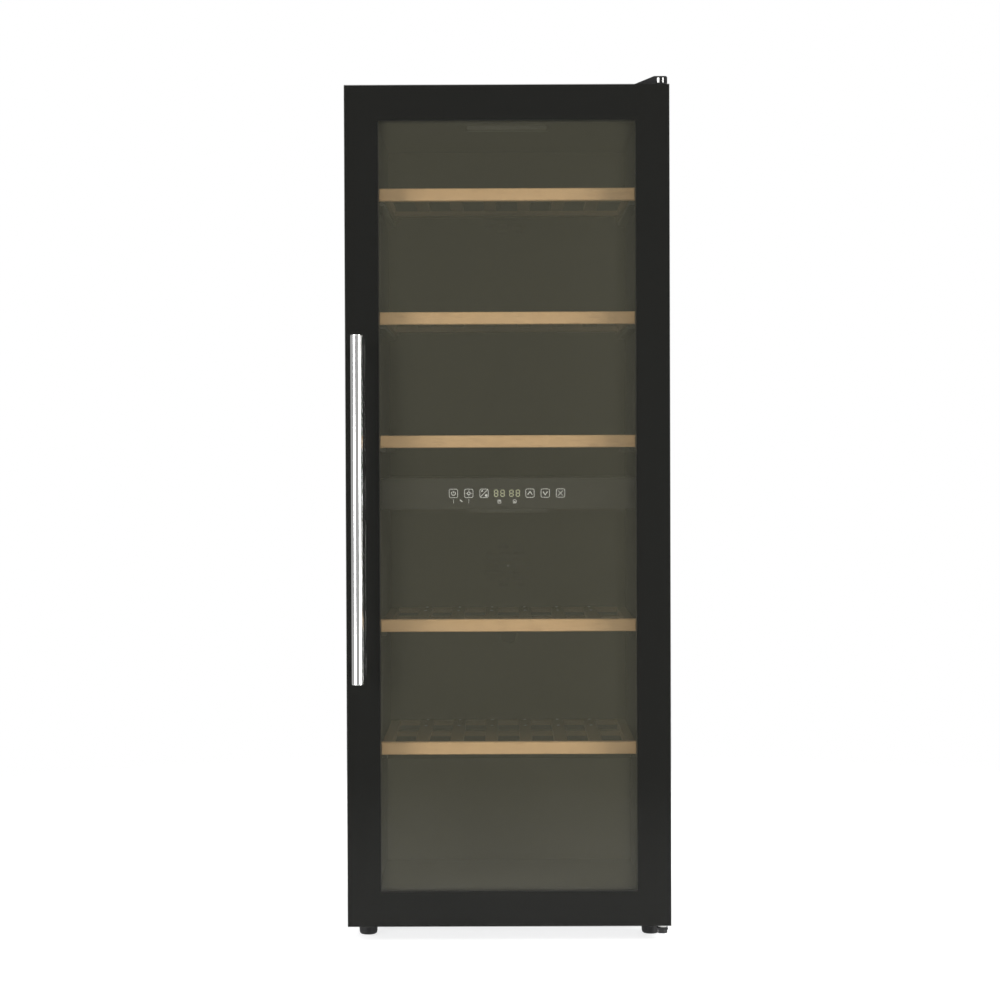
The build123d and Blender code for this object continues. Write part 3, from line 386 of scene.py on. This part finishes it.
def light_lens():
    """Frosted cover of a light bar that is switched off."""
    f = Finish("light_lens")
    frost = f.noise(300.0, 2.0)
    return f.surface(
        base_color=f.mixed(frost, (0.055, 0.054, 0.042), (0.065, 0.064, 0.050)),
        roughness=0.35 + 0.15 * frost,
    )


def coil_metal():
    """Bare aluminium fins and tubes."""
    f = Finish("coil_aluminium")
    tone = f.noise(90.0, 3.0)
    return f.surface(
        base_color=f.mixed(tone, (0.62, 0.63, 0.64), (0.80, 0.81, 0.82)),
        metallic=1.0,
        roughness=0.32 + 0.15 * tone,
    )


def beech(name, run, painted_shade):
    """Steamed beech: short flecks and soft bands that follow the run of the wood."""

    # Every colour of the wood is scaled by the shade level given: 1 is the lit wood, and lower is
    # painted shade on the same beech.
    def in_painted_shade(*colour):
        return tuple(painted_shade * level for level in colour)

    f = Finish(name)
    across = {"x": (3.0, 46.0, 46.0), "y": (46.0, 3.0, 46.0)}[run]
    flecks = {"x": (28.0, 900.0, 900.0), "y": (900.0, 28.0, 900.0)}[run]
    bands = f.noise(1.0, 5.0, f.stretched(across), rough=0.6, warp=0.9)
    fleck = f.ramp(f.noise(1.0, 2.0, f.stretched(flecks)), [(0.56, 0.0), (0.68, 1.0)])
    board = f.noise(2.2, 1.0)
    ground = f.mixed(bands, in_painted_shade(0.70, 0.43, 0.190), in_painted_shade(0.84, 0.56, 0.275))
    toned = f.mixed(0.35 * board, ground, in_painted_shade(0.76, 0.47, 0.22))
    return f.surface(
        base_color=f.mixed(0.55 * fleck, toned, in_painted_shade(0.46, 0.27, 0.12)),
        roughness=0.44 + 0.12 * bands,
        normal=f.bumped(bands + 0.5 * fleck, 0.12, 0.0003),
    )


def printed(name, colour, glow):
    """Pale print or lit segment on the touch panel. The glow is a lit segment's own light, but on
    print it is a painted glow.
    """
    f = Finish(name)
    tone = f.noise(300.0, 2.0)
    return f.surface(
        base_color=f.mixed(tone, colour, tuple(0.85 * c for c in colour)),
        emission_color=colour,
        emission_strength=glow,
        roughness=0.5,
    )



def cabinet_finishes():
    """Finishes of the shell, the linings and the fittings on them."""
    paint = fine_textured_paint(
        "cabinet_paint", (0.010, 0.010, 0.0105), (0.014, 0.014, 0.0145), 0.46, 0.3
    )
    liner = moulded_plastic("liner_plastic", (0.052, 0.050, 0.036), (0.056, 0.054, 0.039), 0.62)
    black = moulded_plastic("black_plastic", grey(0.006), grey(0.009), 0.42, 0.22)
    shell = ["side_panel_left", "side_panel_right", "top_panel", "front_collar"]
    sheets = ["back_panel", "base_pan", "machine_bulkhead", "machine_cover"]
    ducts = ["duct_cover_upper", "duct_cover_lower"]
    mouldings = ["carbon_filter", "hinge_cover", "power_inlet", "foot_sockets", "drip_tray"]
    return [
        (paint, shell),
        (galvanised_steel(), [*sheets, "fan_stand_condenser"]),
        (foam(), ["insulation_foam"]),
        (liner, ["inner_liner", *ducts, "zone_divider", "shelf_runners"]),
        (black, [*mouldings, *FEET]),
        (panel_glass(), ["control_panel"]),
        (circuit_board(), ["control_board"]),
        (light_lens(), ["light_bars"]),
    ]


def door_finishes():
    """Finishes of the door, its handle and its hinges."""
    frame_black = drawn_profile("door_profile", (0.0055, 0.0055, 0.0052), (0.007, 0.007, 0.0068))
    steel = brushed_steel(
        "brushed_stainless", (0.70, 0.70, 0.69), (0.84, 0.84, 0.82), 0.05, (2600, 2600, 3), 0.05
    )
    zinc = brushed_steel(
        "zinc_steel", (0.5, 0.5, 0.49), (0.66, 0.66, 0.64), 0.3, (500, 500, 500), 0.12
    )
    hinge = fine_textured_paint("hinge_steel", grey(0.008), grey(0.012), 0.3, 0.3)
    nylon = moulded_plastic("bush_nylon", (0.7, 0.7, 0.68), (0.8, 0.8, 0.78), 0.4)
    return [
        (tinted_glass(), ["door_glass_outer"]),
        (coated_glass(), ["door_glass_inner"]),
        (frame_black, ["door_frame"]),
        (drawn_profile("spacer_bar", grey(0.010), grey(0.013)), ["glazing_spacer"]),
        (rubber("seal_rubber"), ["door_gasket"]),
        (steel, ["handle_bar", "handle_posts"]),
        (zinc, ["handle_screws", "hinge_screws"]),
        (hinge, ["hinge_bracket_top", "hinge_bracket_bottom", "hinge_pins"]),
        (nylon, ["hinge_bushes"]),
    ]


def machine_finishes():
    """Finishes of the fans, the coils and the compressor."""
    fan = moulded_plastic("fan_plastic", grey(0.03), grey(0.04), 0.42)
    motor = fine_textured_paint("motor_can", (0.20, 0.20, 0.21), (0.26, 0.26, 0.27), 0.38)
    compressor = fine_textured_paint("compressor_steel", grey(0.02), grey(0.032), 0.34)
    return [
        (fan, ["fan_rotor_upper", "fan_rotor_lower", "fan_rotor_condenser"]),
        (motor, ["fan_motors"]),
        (coil_metal(), ["evaporator_upper", "evaporator_lower", "condenser"]),
        (compressor, ["compressor"]),
        (rubber("grommet_rubber"), ["compressor_grommets"]),
    ]


def shelf_finishes():
    """Finishes of the shelf fronts, and of the racks behind them: the same beech, darkened as
    painted shade for the dark they stand in.
    """
    return [
        (beech("beech_front", "x", 1.0), [f"{shelf}_fascia" for shelf in SHELVES]),
        # The racks' beech at 0.22 of the fronts is painted shade for the dark behind the fronts.
        (beech("beech_rack", "y", 0.22), [f"{shelf}_rack" for shelf in SHELVES]),
    ]


def paint_cad_nodes():
    """Gives each shown CAD node its finish, and returns the finishes by name."""
    finishes = cabinet_finishes() + door_finishes() + machine_finishes() + shelf_finishes()
    for material, names in finishes:
        for name in names:
            slots = NODES[name].data.materials
            slots.clear()
            slots.append(material)
    return {material.name: material for material, names in finishes}


# ---- Mesh helpers ----
def linked(name, data):
    """A new object with that data, put in the scene."""
    made = bpy.data.objects.new(name, data)
    bpy.context.scene.collection.objects.link(made)
    return made


def piece_from(name, verts, faces, material, body):
    """A finished mesh piece, riding on its body."""
    mesh = bpy.data.meshes.new(name)
    mesh.from_pydata([tuple(v) for v in verts], [], faces)
    mesh.validate()
    work = bmesh.new()
    work.from_mesh(mesh)
    bmesh.ops.remove_doubles(work, verts=work.verts, dist=1e-6)
    bmesh.ops.recalc_face_normals(work, faces=work.faces)
    work.to_mesh(mesh)
    work.free()
    mesh.materials.append(material)
    made = linked(name, mesh)
    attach(made, body)
    return made


# ---- Repeats ----
class Repeat(Tree):
    """A geometry tree with named inputs, which ends in plain mesh with its material."""

    def __init__(self, name, sizes):
        super().__init__(bpy.data.node_groups.new(name, "GeometryNodeTree"))
        sockets = {"Points": "Geometry", **sizes, "Finish": "Material"}
        for key, kind in sockets.items():
            self.socket(key, "INPUT", kind)
        self.socket("Mesh", "OUTPUT", "Geometry")
        self.given = self.node("NodeGroupInput").outputs

    def socket(self, name, side, kind):
        face = self.tree.interface
        face.new_socket(name=name, in_out=side, socket_type=f"NodeSocket{kind}")

    def placed(self, points, instance, turn=None):
        inputs = {"Points": points, "Instance": instance, "Rotation": turn}
        return self.node("GeometryNodeInstanceOnPoints", None, inputs).outputs[0]

    def copies(self, points):
        """The given shape on each point, all turned the same way."""
        shape = self.node("GeometryNodeObjectInfo", None, {"Object": self.given["Shape"]})
        turn = self.node("FunctionNodeEulerToRotation", None, {"Euler": self.given["Turn"]})
        return self.placed(points, shape.outputs["Geometry"], turn.outputs[0])

    def end(self, instances):
        """Makes the copies real mesh, gives them the finish and closes the tree."""
        real = self.node("GeometryNodeRealizeInstances", None, {"Geometry": instances})
        inputs = {"Geometry": real.outputs[0], "Material": self.given["Finish"]}
        done = self.node("GeometryNodeSetMaterial", None, inputs)
        self.node("NodeGroupOutput", None, {"Mesh": done.outputs[0]})
        return self

    def grow(self, name, points, values, material, body, slot):
        """Runs the tree on the points, and keeps its result as a plain piece."""
        mesh = bpy.data.meshes.new(name)
        mesh.from_pydata([tuple(p) for p in points], [], [])
        made = linked(name, mesh)
        modifier = made.modifiers.new(name, "NODES")
        modifier.node_group = self.tree
        for item in self.tree.interface.items_tree:
            if item.in_out == "INPUT" and item.name in values:
                modifier[item.identifier] = values[item.name]
            elif item.in_out == "INPUT" and item.name == "Finish":
                modifier[item.identifier] = material
        graph = bpy.context.evaluated_depsgraph_get()
        grown = bpy.data.meshes.new_from_object(made.evaluated_get(graph), depsgraph=graph)
        made.modifiers.clear()
        made.data = grown
        grown.name = name
        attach(made, body)
        return made


def spread_tree():
    """One shape on each given point."""
    tree = Repeat("spread_on_points", {"Shape": "Object", "Turn": "Vector"})
    return tree.end(tree.copies(tree.given["Points"]))


def row_tree():
    """One shape repeated along a straight row."""
    sizes = {"Shape": "Object", "Turn": "Vector", "Count": "Int"}
    sizes.update({"Start": "Vector", "Step": "Vector"})
    tree = Repeat("row_of_shapes", sizes)
    inputs = {"Count": tree.given["Count"], "Start Location": tree.given["Start"]}
    inputs["Offset"] = tree.given["Step"]
    line = tree.node("GeometryNodeMeshLine", {"mode": "OFFSET"}, inputs)
    return tree.end(tree.copies(line.outputs[0]))


def rim_tree():
    """Upright ribs round a circle about each given point."""
    sizes = {"Count": "Int", "Rim Radius": "Float", "Rib Radius": "Float", "Rib Height": "Float"}
    tree = Repeat("ribs_round_a_rim", sizes)
    inputs = {"Vertices": tree.given["Count"], "Radius": tree.given["Rim Radius"]}
    circle = tree.node("GeometryNodeMeshCircle", None, inputs)
    inputs = {"Vertices": 6, "Radius": tree.given["Rib Radius"], "Depth": tree.given["Rib Height"]}
    rib = tree.node("GeometryNodeMeshCylinder", None, inputs)
    ring = tree.placed(circle.outputs[0], rib.outputs["Mesh"])
    return tree.end(tree.placed(tree.given["Points"], ring))


# ---- Shapes ----
def turned_shape(rings, sides):
    """A closed shape from rings of (radius, height), about Z, both ends capped."""
    verts = []
    for radius, height in rings:
        for i in range(sides):
            angle = math.tau * i / sides
            verts.append((radius * math.cos(angle), radius * math.sin(angle), height))
    faces = []
    for r in range(len(rings) - 1):
        for i in range(sides):
            j = (i + 1) % sides
            low, high = r * sides, (r + 1) * sides
            faces.append((low + i, low + j, high + j, high + i))
    last = (len(rings) - 1) * sides
    faces.append(tuple(reversed(range(sides))))
    faces.append(tuple(range(last, last + sides)))
    return verts, faces


def cross_head(radius, height):
    """A pan head with a cross recess, sitting on Z = 0."""
    arm, half = 0.58 * radius, 0.13 * radius
    corner = math.atan2(half, arm)
    cross = []
    for quarter in range(4):
        start = quarter * math.pi / 2
        reach = math.hypot(arm, half)
        cross.append((start + corner, reach))
        cross.append((start + math.pi / 4, half * math.sqrt(2)))
        cross.append((start + math.pi / 2 - corner, reach))
    circle = [math.pi / 12 + math.pi / 6 * i for i in range(12)]
    rings = [[(a, radius, 0.0) for a in circle]]
    rings.append([(a, radius, 0.45 * height) for a in circle])
    rings.append([(a, 0.78 * radius, height) for a in circle])
    rings.append([(a, reach, height) for a, reach in cross])
    rings.append([(a, 0.8 * reach, 0.3 * height) for a, reach in cross])
    verts = [(r * math.cos(a), r * math.sin(a), z) for ring in rings for a, r, z in ring]
    faces = [tuple(reversed(range(12))), tuple(range(48, 60))]
    for r in range(4):
        for i in range(12):
            j = (i + 1) % 12
            faces.append((12 * r + i, 12 * r + j, 12 * r + 12 + j, 12 * r + 12 + i))
    return verts, faces


def loose_shape(name, shape):
    """A shape for the repeats to copy. It isn't shown itself."""
    verts, faces = shape
    mesh = bpy.data.meshes.new(name)
    mesh.from_pydata(verts, [], faces)
    mesh.update()
    return bpy.data.objects.new(name, mesh)


def strip(points, width, closed=False):
    """Left and right edges of a line of that width, mitred at its corners."""
    count = len(points)
    edges = []
    for i, here in enumerate(points):
        here = Vector(here)
        before = Vector(points[i - 1]) if closed or i else here
        after = Vector(points[(i + 1) % count]) if closed or i < count - 1 else here
        one = (here - before).normalized() if before != here else (after - here).normalized()
        two = (after - here).normalized() if after != here else one
        across = Vector((-(one + two).y, (one + two).x)).normalized()
        square = Vector((-one.y, one.x))
        reach = 0.5 * width / max(across.dot(square), 0.35)
        edges.append((here + reach * across, here - reach * across))
    return edges


class Relief:
    """Thin raised marks on an upright face that looks to the front."""

    def __init__(self, face, lift):
        self.face = face
        self.lift = lift
        self.verts = []
        self.faces = []

    def add(self, outline):
        """A filled outline of (x, z) points."""
        first, count = len(self.verts), len(outline)
        for y in (self.face, self.face - self.lift):
            self.verts += [(x, y, z) for x, z in outline]
        for i in range(count):
            j = (i + 1) % count
            self.faces.append((first + i, first + j, first + count + j, first + count + i))
        self.faces.append(tuple(range(first + count, first + 2 * count)))
        self.faces.append(tuple(reversed(range(first, first + count))))

    def line(self, points, width, closed=False):
        """A line along (x, z) points."""
        edges = strip(points, width, closed)
        first = len(self.verts)
        for left, right in edges:
            for y in (self.face, self.face - self.lift):
                self.verts += [(left.x, y, left.y), (right.x, y, right.y)]
        spans = len(edges) if closed else len(edges) - 1
        for i in range(spans):
            a, b = first + 4 * i, first + 4 * ((i + 1) % len(edges))
            for p, q in ((0, 1), (1, 3), (3, 2), (2, 0)):
                self.faces.append((a + p, a + q, b + q, b + p))
        if not closed:
            end = first + 4 * spans
            self.faces.append((first, first + 2, first + 3, first + 1))
            self.faces.append((end, end + 1, end + 3, end + 2))

    def piece(self, name, material, body):
        return piece_from(name, self.verts, self.faces, material, body)


def arc(centre, radius, start, end, steps):
    """Points of (x, z) along an arc, in degrees."""
    points = []
    for i in range(steps + 1):
        angle = math.radians(start + (end - start) * i / steps)
        points.append((centre[0] + radius * math.cos(angle), centre[1] + radius * math.sin(angle)))
    return points


def rounded_box(left, right, bottom, top, radius, steps):
    """Points of (x, z) round a box with rounded corners."""
    points = []
    for start, side_x, side_z in ((0, 1, 1), (90, -1, 1), (180, -1, -1), (270, 1, -1)):
        x = right - radius if side_x > 0 else left + radius
        z = top - radius if side_z > 0 else bottom + radius
        points += arc((x, z), radius, start, start + 90, steps)
    return points


def rounded_square(centre, half, radius):
    x, z = centre
    return rounded_box(x - half, x + half, z - half, z + half, radius, 4)


# ---- Door pieces ----
def build_door_seal(material):
    """Magnetic seal: a foot in the door, two folds and a pocket that meets the cabinet."""
    low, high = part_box("door_gasket")
    depth = high.y - low.y
    verts = []
    for side_x, side_z in ((-1, -1), (1, -1), (1, 1), (-1, 1)):
        corner_x = high.x if side_x > 0 else low.x
        corner_z = high.z if side_z > 0 else low.z
        for inward, out in SEAL_FOLD:
            x = corner_x - side_x * inward * MM
            z = corner_z - side_z * inward * MM
            verts.append((x, low.y + out / SEAL_FOLD_DEPTH * depth, z))
    faces = []
    count = len(SEAL_FOLD)
    for corner in range(4):
        a, b = corner * count, (corner + 1) % 4 * count
        for i in range(count):
            j = (i + 1) % count
            faces.append((a + i, a + j, b + j, b + i))
    seal = piece_from("door_seal", verts, faces, material, "door")
    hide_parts("door_gasket")


def build_edge_print(material):
    """The black border: a thin band inside the outer pane, round the window."""
    low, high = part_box("door_glass_outer")
    window_low, window_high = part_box("glazing_spacer")
    lap, rim = PRINT_LAP, PRINT_RIM
    outer = (low.x + rim, high.x - rim, low.z + rim, high.z - rim)
    inner = (window_low.x + lap, window_high.x - lap, window_low.z + lap, window_high.z - lap)
    verts, faces = [], []
    for left, right, bottom, top in (outer, inner):
        for y in [high.y - depth for depth in PRINT_DEPTHS]:
            verts += [(left, y, bottom), (right, y, bottom), (right, y, top), (left, y, top)]
    for i in range(4):
        j = (i + 1) % 4
        faces.append((i, j, 8 + j, 8 + i))
        faces.append((4 + i, 4 + j, 12 + j, 12 + i))
        faces.append((i, j, 4 + j, 4 + i))
        faces.append((8 + i, 8 + j, 12 + j, 12 + i))
    piece_from("edge_print", verts, faces, material, "door")


def build_handle_washers(material):
    """Soft washers between the glass and the foot of each handle post."""
    post_low, post_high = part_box("handle_posts")
    glass_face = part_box("door_glass_outer")[0].y
    radius = 0.5 * (post_high.x - post_low.x)
    centre_x = 0.5 * (post_high.x + post_low.x)
    sides, rings = WASHER_SIDES, len(WASHER_RINGS)
    verts, faces = [], []
    for centre_z in (post_low.z + radius, post_high.z - radius):
        first = len(verts)
        for beyond, out in WASHER_RINGS:
            reach = radius + beyond * MM
            y = glass_face - out * MM
            for i in range(sides):
                angle = math.tau * i / sides
                x = centre_x + reach * math.cos(angle)
                verts.append((x, y, centre_z + reach * math.sin(angle)))
        for r in range(rings):
            a, b = first + r * sides, first + (r + 1) % rings * sides
            for i in range(sides):
                j = (i + 1) % sides
                faces.append((a + i, a + j, b + j, b + i))
    piece_from("handle_washers", verts, faces, material, "door")


# ---- Cabinet pieces ----
def figure(relief, x, z):
    """A seven-segment figure with every segment lit."""
    gap = SEGMENT_GAP
    left, right = x - FIGURE_HALF_WIDTH, x + FIGURE_HALF_WIDTH
    top, bottom = z + FIGURE_HALF_HEIGHT, z - FIGURE_HALF_HEIGHT
    segments = (
        ((left + gap, top), (right - gap, top)),
        ((right, top - gap), (right, z + gap)),
        ((right, z - gap), (right, bottom + gap)),
        ((left + gap, bottom), (right - gap, bottom)),
        ((left, z - gap), (left, bottom + gap)),
        ((left, top - gap), (left, z + gap)),
        ((left + gap, z), (right - gap, z)),
    )
    for segment in segments:
        relief.line(segment, SEGMENT_WIDTH)


def power_sign(keys, x, z):
    """An open ring with a bar in its gap."""
    keys.line(arc((x, z), 3.6 * MM, 125, 415, 18), 1.3 * MM)
    keys.line(((x, z + 0.8 * MM), (x, z + 4.8 * MM)), 1.3 * MM)


def lamp_sign(keys, x, z):
    """A ring with four rays."""
    keys.line(arc((x, z), 2.6 * MM, 0, 345, 14), 1.3 * MM, True)
    centre = Vector((x, z))
    for turn in range(4):
        way = Vector((math.cos(turn * math.pi / 2), math.sin(turn * math.pi / 2)))
        keys.line((centre + 3.9 * MM * way, centre + 5.6 * MM * way), 1.0 * MM)


def scale_sign(keys, x, z):
    """A slanting stroke between a small dot and a large one."""
    reach = 7.4 * MM
    keys.line(((x - reach, z - reach), (x + reach, z + reach)), 1.2 * MM)
    keys.add(arc((x - 3.7 * MM, z + 4.2 * MM), 1.7 * MM, 0, 330, 11))
    keys.add(arc((x + 3.9 * MM, z - 3.9 * MM), 2.5 * MM, 0, 330, 11))


def arrow_sign(keys, x, z, up):
    """An open arrow head: up is 1, or -1 for down."""
    wing = z - up * 2.8 * MM
    tip = (x, z + up * 3.2 * MM)
    keys.line(((x - 4.2 * MM, wing), tip, (x + 4.2 * MM, wing)), 1.6 * MM)


def cross_sign(keys, x, z):
    """Two slanting strokes that cross."""
    reach = 4.6 * MM
    for lean in (-1, 1):
        ends = ((x - reach, z - lean * reach), (x + reach, z + lean * reach))
        keys.line(ends, 1.0 * MM)


def zone_sign(keys, x, z, half):
    """A small square, filled in its upper half for 1 and its lower half for -1."""
    keys.line(rounded_square((x, z), 2.9 * MM, 1.2 * MM), 0.9 * MM, True)
    reach = 1.9 * MM
    bottom, top = sorted((z, z + half * reach))
    keys.add([(x - reach, bottom), (x + reach, bottom), (x + reach, top), (x - reach, top)])


def lock_sign(keys, left, right, z):
    """Two upright ticks with a short thick stroke between them."""
    for x in (left, right):
        keys.line(((x, z - 3.2 * MM), (x, z + 4.2 * MM)), 0.7 * MM)
    middle = 0.5 * (left + right)
    ends = ((middle - 2.2 * MM, z + 3.6 * MM), (middle + 2.2 * MM, z - 0.4 * MM))
    keys.line(ends, 1.9 * MM)


def build_touch_panel_marks():
    """Touch keys and temperature figures of the strip between the zones."""
    low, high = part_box("control_panel")
    row = low.z + KEY_ROW_RISE
    under = row - MARK_ROW_DROP
    spots = [KEYS_ASIDE + (index - 0.5 * (KEYS - 1)) * KEY_PITCH for index in range(KEYS)]
    upper_zone, lower_zone = spots[3], spots[4]
    keys = Relief(low.y, SYMBOL_LIFT)
    for x in spots[:3] + spots[5:]:
        keys.line(rounded_square((x, row), KEY_FRAME_HALF, KEY_FRAME_ROUND), 1.0 * MM, True)
    power_sign(keys, spots[0], row)
    lamp_sign(keys, spots[1], row)
    scale_sign(keys, spots[2], row)
    arrow_sign(keys, spots[5], row, 1)
    arrow_sign(keys, spots[6], row, -1)
    cross_sign(keys, spots[7], row)
    zone_sign(keys, upper_zone, under, 1)
    zone_sign(keys, lower_zone, under, -1)
    lock_sign(keys, spots[0], spots[1], under)
    # The key print glows at 0.5: this is painted light, as print gives none of its own.
    key_print = printed("key_print", (0.62, 0.62, 0.58), 0.5)
    keys.piece("touch_keys", key_print, "cabinet")

    figures = Relief(low.y, SYMBOL_LIFT)
    for x in (upper_zone, lower_zone):
        figure(figures, x - FIGURE_ASIDE, row)
        figure(figures, x + FIGURE_ASIDE, row)
    lit = printed("lit_figures", (0.55, 0.56, 0.36), 0.5)
    figures.piece("temperature_figures", lit, "cabinet")


def build_lamp_row(row, material):
    """Small lamps along the front of each light bar."""
    low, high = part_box("light_bars")
    dome = loose_shape("lamp_dome", turned_shape(LAMP_RINGS, 12))
    start = -0.5 * (LAMPS - 1) * LAMP_STEP
    heights = {"upper": high.z - UPPER_LAMPS_DROP, "lower": low.z + LOWER_LAMPS_RISE}
    for name, z in heights.items():
        values = {
            "Shape": dome,
            "Turn": (math.pi / 2, 0, 0),
            "Count": LAMPS,
            "Start": (start, low.y, z),
            "Step": (LAMP_STEP, 0, 0),
        }
        row.grow(f"lamps_{name}", [(0, 0, 0)], values, material, "cabinet", "light_lens")


def build_foot_ribs(rim, material):
    """Grip ribs round the rim of each levelling foot."""
    for name in FEET:
        low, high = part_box(name)
        radius = 0.5 * (high.x - low.x)
        centre = (0.5 * (low.x + high.x), 0.5 * (low.y + high.y), low.z + RIB_MIDDLE)
        values = {
            "Count": RIBS,
            "Rim Radius": radius - RIB_SUNK,
            "Rib Radius": RIB_RADIUS,
            "Rib Height": RIB_HEIGHT,
        }
        rim.grow(f"{name}_grip", [centre], values, material, name, "black_plastic")


def build_shelf_screws(spread, material):
    """Screws that hold the slats down to the rails of each shelf."""
    values = {"Shape": loose_shape("slat_screw", cross_head(*SLAT_SCREW)), "Turn": (0, 0, 0)}
    for shelf in SHELVES:
        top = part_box(f"{shelf}_rack")[1].z
        points = []
        for slat in range(SLATS):
            x = (slat - 0.5 * (SLATS - 1)) * SLAT_PITCH
            points += [(x, y, top) for y in SLAT_SCREWS_Y]
        spread.grow(f"{shelf}_screws", points, values, material, shelf, "zinc_steel")


def build_rear_screws(spread, material):
    """Screws round the edges of the rear panel and of the machine cover."""
    head = loose_shape("rear_screw", cross_head(*REAR_SCREW))
    values = {"Shape": head, "Turn": (-math.pi / 2, 0, 0)}
    for name, (across, up) in REAR_SCREWS.items():
        low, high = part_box(name)
        left, right = low.x + REAR_SCREW_INSET, high.x - REAR_SCREW_INSET
        bottom, top = low.z + REAR_SCREW_INSET, high.z - REAR_SCREW_INSET
        points = []
        for column in range(across):
            for row in range(up):
                if column in (0, across - 1) or row in (0, up - 1):
                    x = left + (right - left) * column / (across - 1)
                    z = bottom + (top - bottom) * row / (up - 1)
                    points.append((x, high.y, z))
        spread.grow(f"{name}_screws", points, values, material, "cabinet", "zinc_steel")


def build_hinge_slot_lights(material):
    """Pale pieces in the two slots of the top hinge's cover: painted light, standing for the
    bright light that shows through the slots.
    """
    low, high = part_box("hinge_cover")
    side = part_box("door_glass_outer")[1].x
    front, back = low.y + 0.3 * MM, low.y + 1.7 * MM
    top, bottom = high.z - SLOT_LIGHT_TOP_DROP, high.z - SLOT_LIGHT_BOTTOM_DROP
    slot_lights = Relief(back, back - front)
    for from_side, half in HINGE_SLOT_LIGHTS:
        left, right = side - from_side - half, side - from_side + half
        slot_lights.add(rounded_box(left, right, bottom, top, SLOT_LIGHT_ROUND, 3))
    slot_lights.piece("hinge_slot_inserts", material, "cabinet")


# ---- Studio ----
FLOOR_REACH = 9.0
FLOOR_DROP = 0.4 * MM
FLOOR_FADE = ((0.08, 1.0), (0.32, 0.0))
FLOOR_FADE_REACH = 8.0
LIT_MIDDLE = (0, 0, 0.8)
SOFTBOXES = {
    # place, size, watts
    "softbox_left": ((-2.7, -2.8, 1.2), (1.4, 2.8), 160),
    "softbox_right": ((2.56, -2.04, 1.2), (1.7, 2.8), 175),
    "softbox_top": ((0, 0.2, 3.6), (3.4, 3.4), 110),
    "softbox_back": ((1.2, 3.4, 1.6), (2.6, 2.6), 55),
}
FILL_STRENGTH = 0.45
SENSOR_WIDTH = 36.0
FOCAL_SHARE = 2.4614
CAMERA_AHEAD = 4.5
CAMERA_ASIDE = -0.0044
CAMERA_HEIGHT = 0.8925
CAMERA_TILT = 1.019
CAMERA_TURN = 0.131
CAMERA_ROLL = -0.213


def build_floor():
    """A pale plane that fades out round the cooler and keeps a faint shadow under it."""
    mesh = bpy.data.meshes.new("studio_floor")
    corners = []
    for x, y in ((-1, -1), (1, -1), (1, 1), (-1, 1)):
        corners.append((x * FLOOR_REACH, y * FLOOR_REACH, -FLOOR_DROP))
    mesh.from_pydata(corners, [], [(0, 1, 2, 3)])
    f = Finish("pale_floor")
    length = f.node("ShaderNodeVectorMath", {"operation": "LENGTH"}, {0: f.place})
    away = (1 / FLOOR_FADE_REACH) * Number(f, length.outputs["Value"])
    mesh.materials.append(
        f.surface(
            base_color=f.mixed(f.noise(2.0, 3.0), grey(0.42), grey(0.45)),
            alpha=f.ramp(away, FLOOR_FADE),
            roughness=0.7,
            emission_color=grey(1.0),
            emission_strength=0.70,
        )
    )
    linked("studio_floor", mesh)


def build_lights():
    for name, (place, size, watts) in SOFTBOXES.items():
        data = bpy.data.lights.new(name, "AREA")
        data.shape = "RECTANGLE"
        data.size, data.size_y = size
        data.energy = watts
        lamp = linked(name, data)
        lamp.location = place
        way = Vector(LIT_MIDDLE) - Vector(place)
        lamp.rotation_mode = "QUATERNION"
        lamp.rotation_quaternion = way.to_track_quat("-Z", "Y")


def build_world():
    """White to look at, and a dim even grey as a light."""
    world = bpy.data.worlds.new("studio")
    bpy.context.scene.world = world
    world.use_nodes = True
    world.node_tree.nodes.clear()
    sky = Tree(world.node_tree)
    white = rgba(grey(1.0))
    seen = sky.node("ShaderNodeLightPath").outputs["Is Camera Ray"]
    fill = sky.node("ShaderNodeBackground", None, {"Color": white, "Strength": FILL_STRENGTH})
    plain = sky.node("ShaderNodeBackground", None, {"Color": white, "Strength": 1.0})
    either = {"Fac": seen, 1: fill.outputs[0], 2: plain.outputs[0]}
    mix = sky.node("ShaderNodeMixShader", None, either)
    sky.node("ShaderNodeOutputWorld", None, {"Surface": mix.outputs[0]})


def build_camera():
    """A long lens in front of the door, a little above its middle, tipped down a degree."""
    data = bpy.data.cameras.new("camera")
    data.sensor_width = SENSOR_WIDTH
    data.lens = SENSOR_WIDTH * FOCAL_SHARE
    data.clip_end = 60.0
    camera = linked("camera", data)
    door_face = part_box("door_glass_outer")[0].y
    camera.location = (CAMERA_ASIDE, door_face - CAMERA_AHEAD, CAMERA_HEIGHT)
    pitch = Matrix.Rotation(math.radians(90 - CAMERA_TILT), 4, "X")
    yaw = Matrix.Rotation(math.radians(CAMERA_TURN), 4, "Z")
    roll = Matrix.Rotation(math.radians(CAMERA_ROLL), 4, "Z")
    camera.rotation_mode = "QUATERNION"
    camera.rotation_quaternion = (yaw @ pitch @ roll).to_quaternion()
    bpy.context.scene.camera = camera


def build_studio():
    build_floor()
    build_lights()
    build_world()
    build_camera()
    bpy.context.scene.view_settings.view_transform = "Standard"


build_studio()
shared = paint_cad_nodes()
build_door_seal(shared["seal_rubber"])
build_edge_print(edge_print())
build_handle_washers(shared["seal_rubber"])
build_touch_panel_marks()
build_lamp_row(row_tree(), shared["light_lens"])
build_foot_ribs(rim_tree(), shared["black_plastic"])
on_points = spread_tree()
build_shelf_screws(on_points, shared["zinc_steel"])
build_rear_screws(on_points, shared["zinc_steel"])
# The painted light in the hinge slots borrows the pale nylon of the hinge bushes.
build_hinge_slot_lights(shared["bush_nylon"])
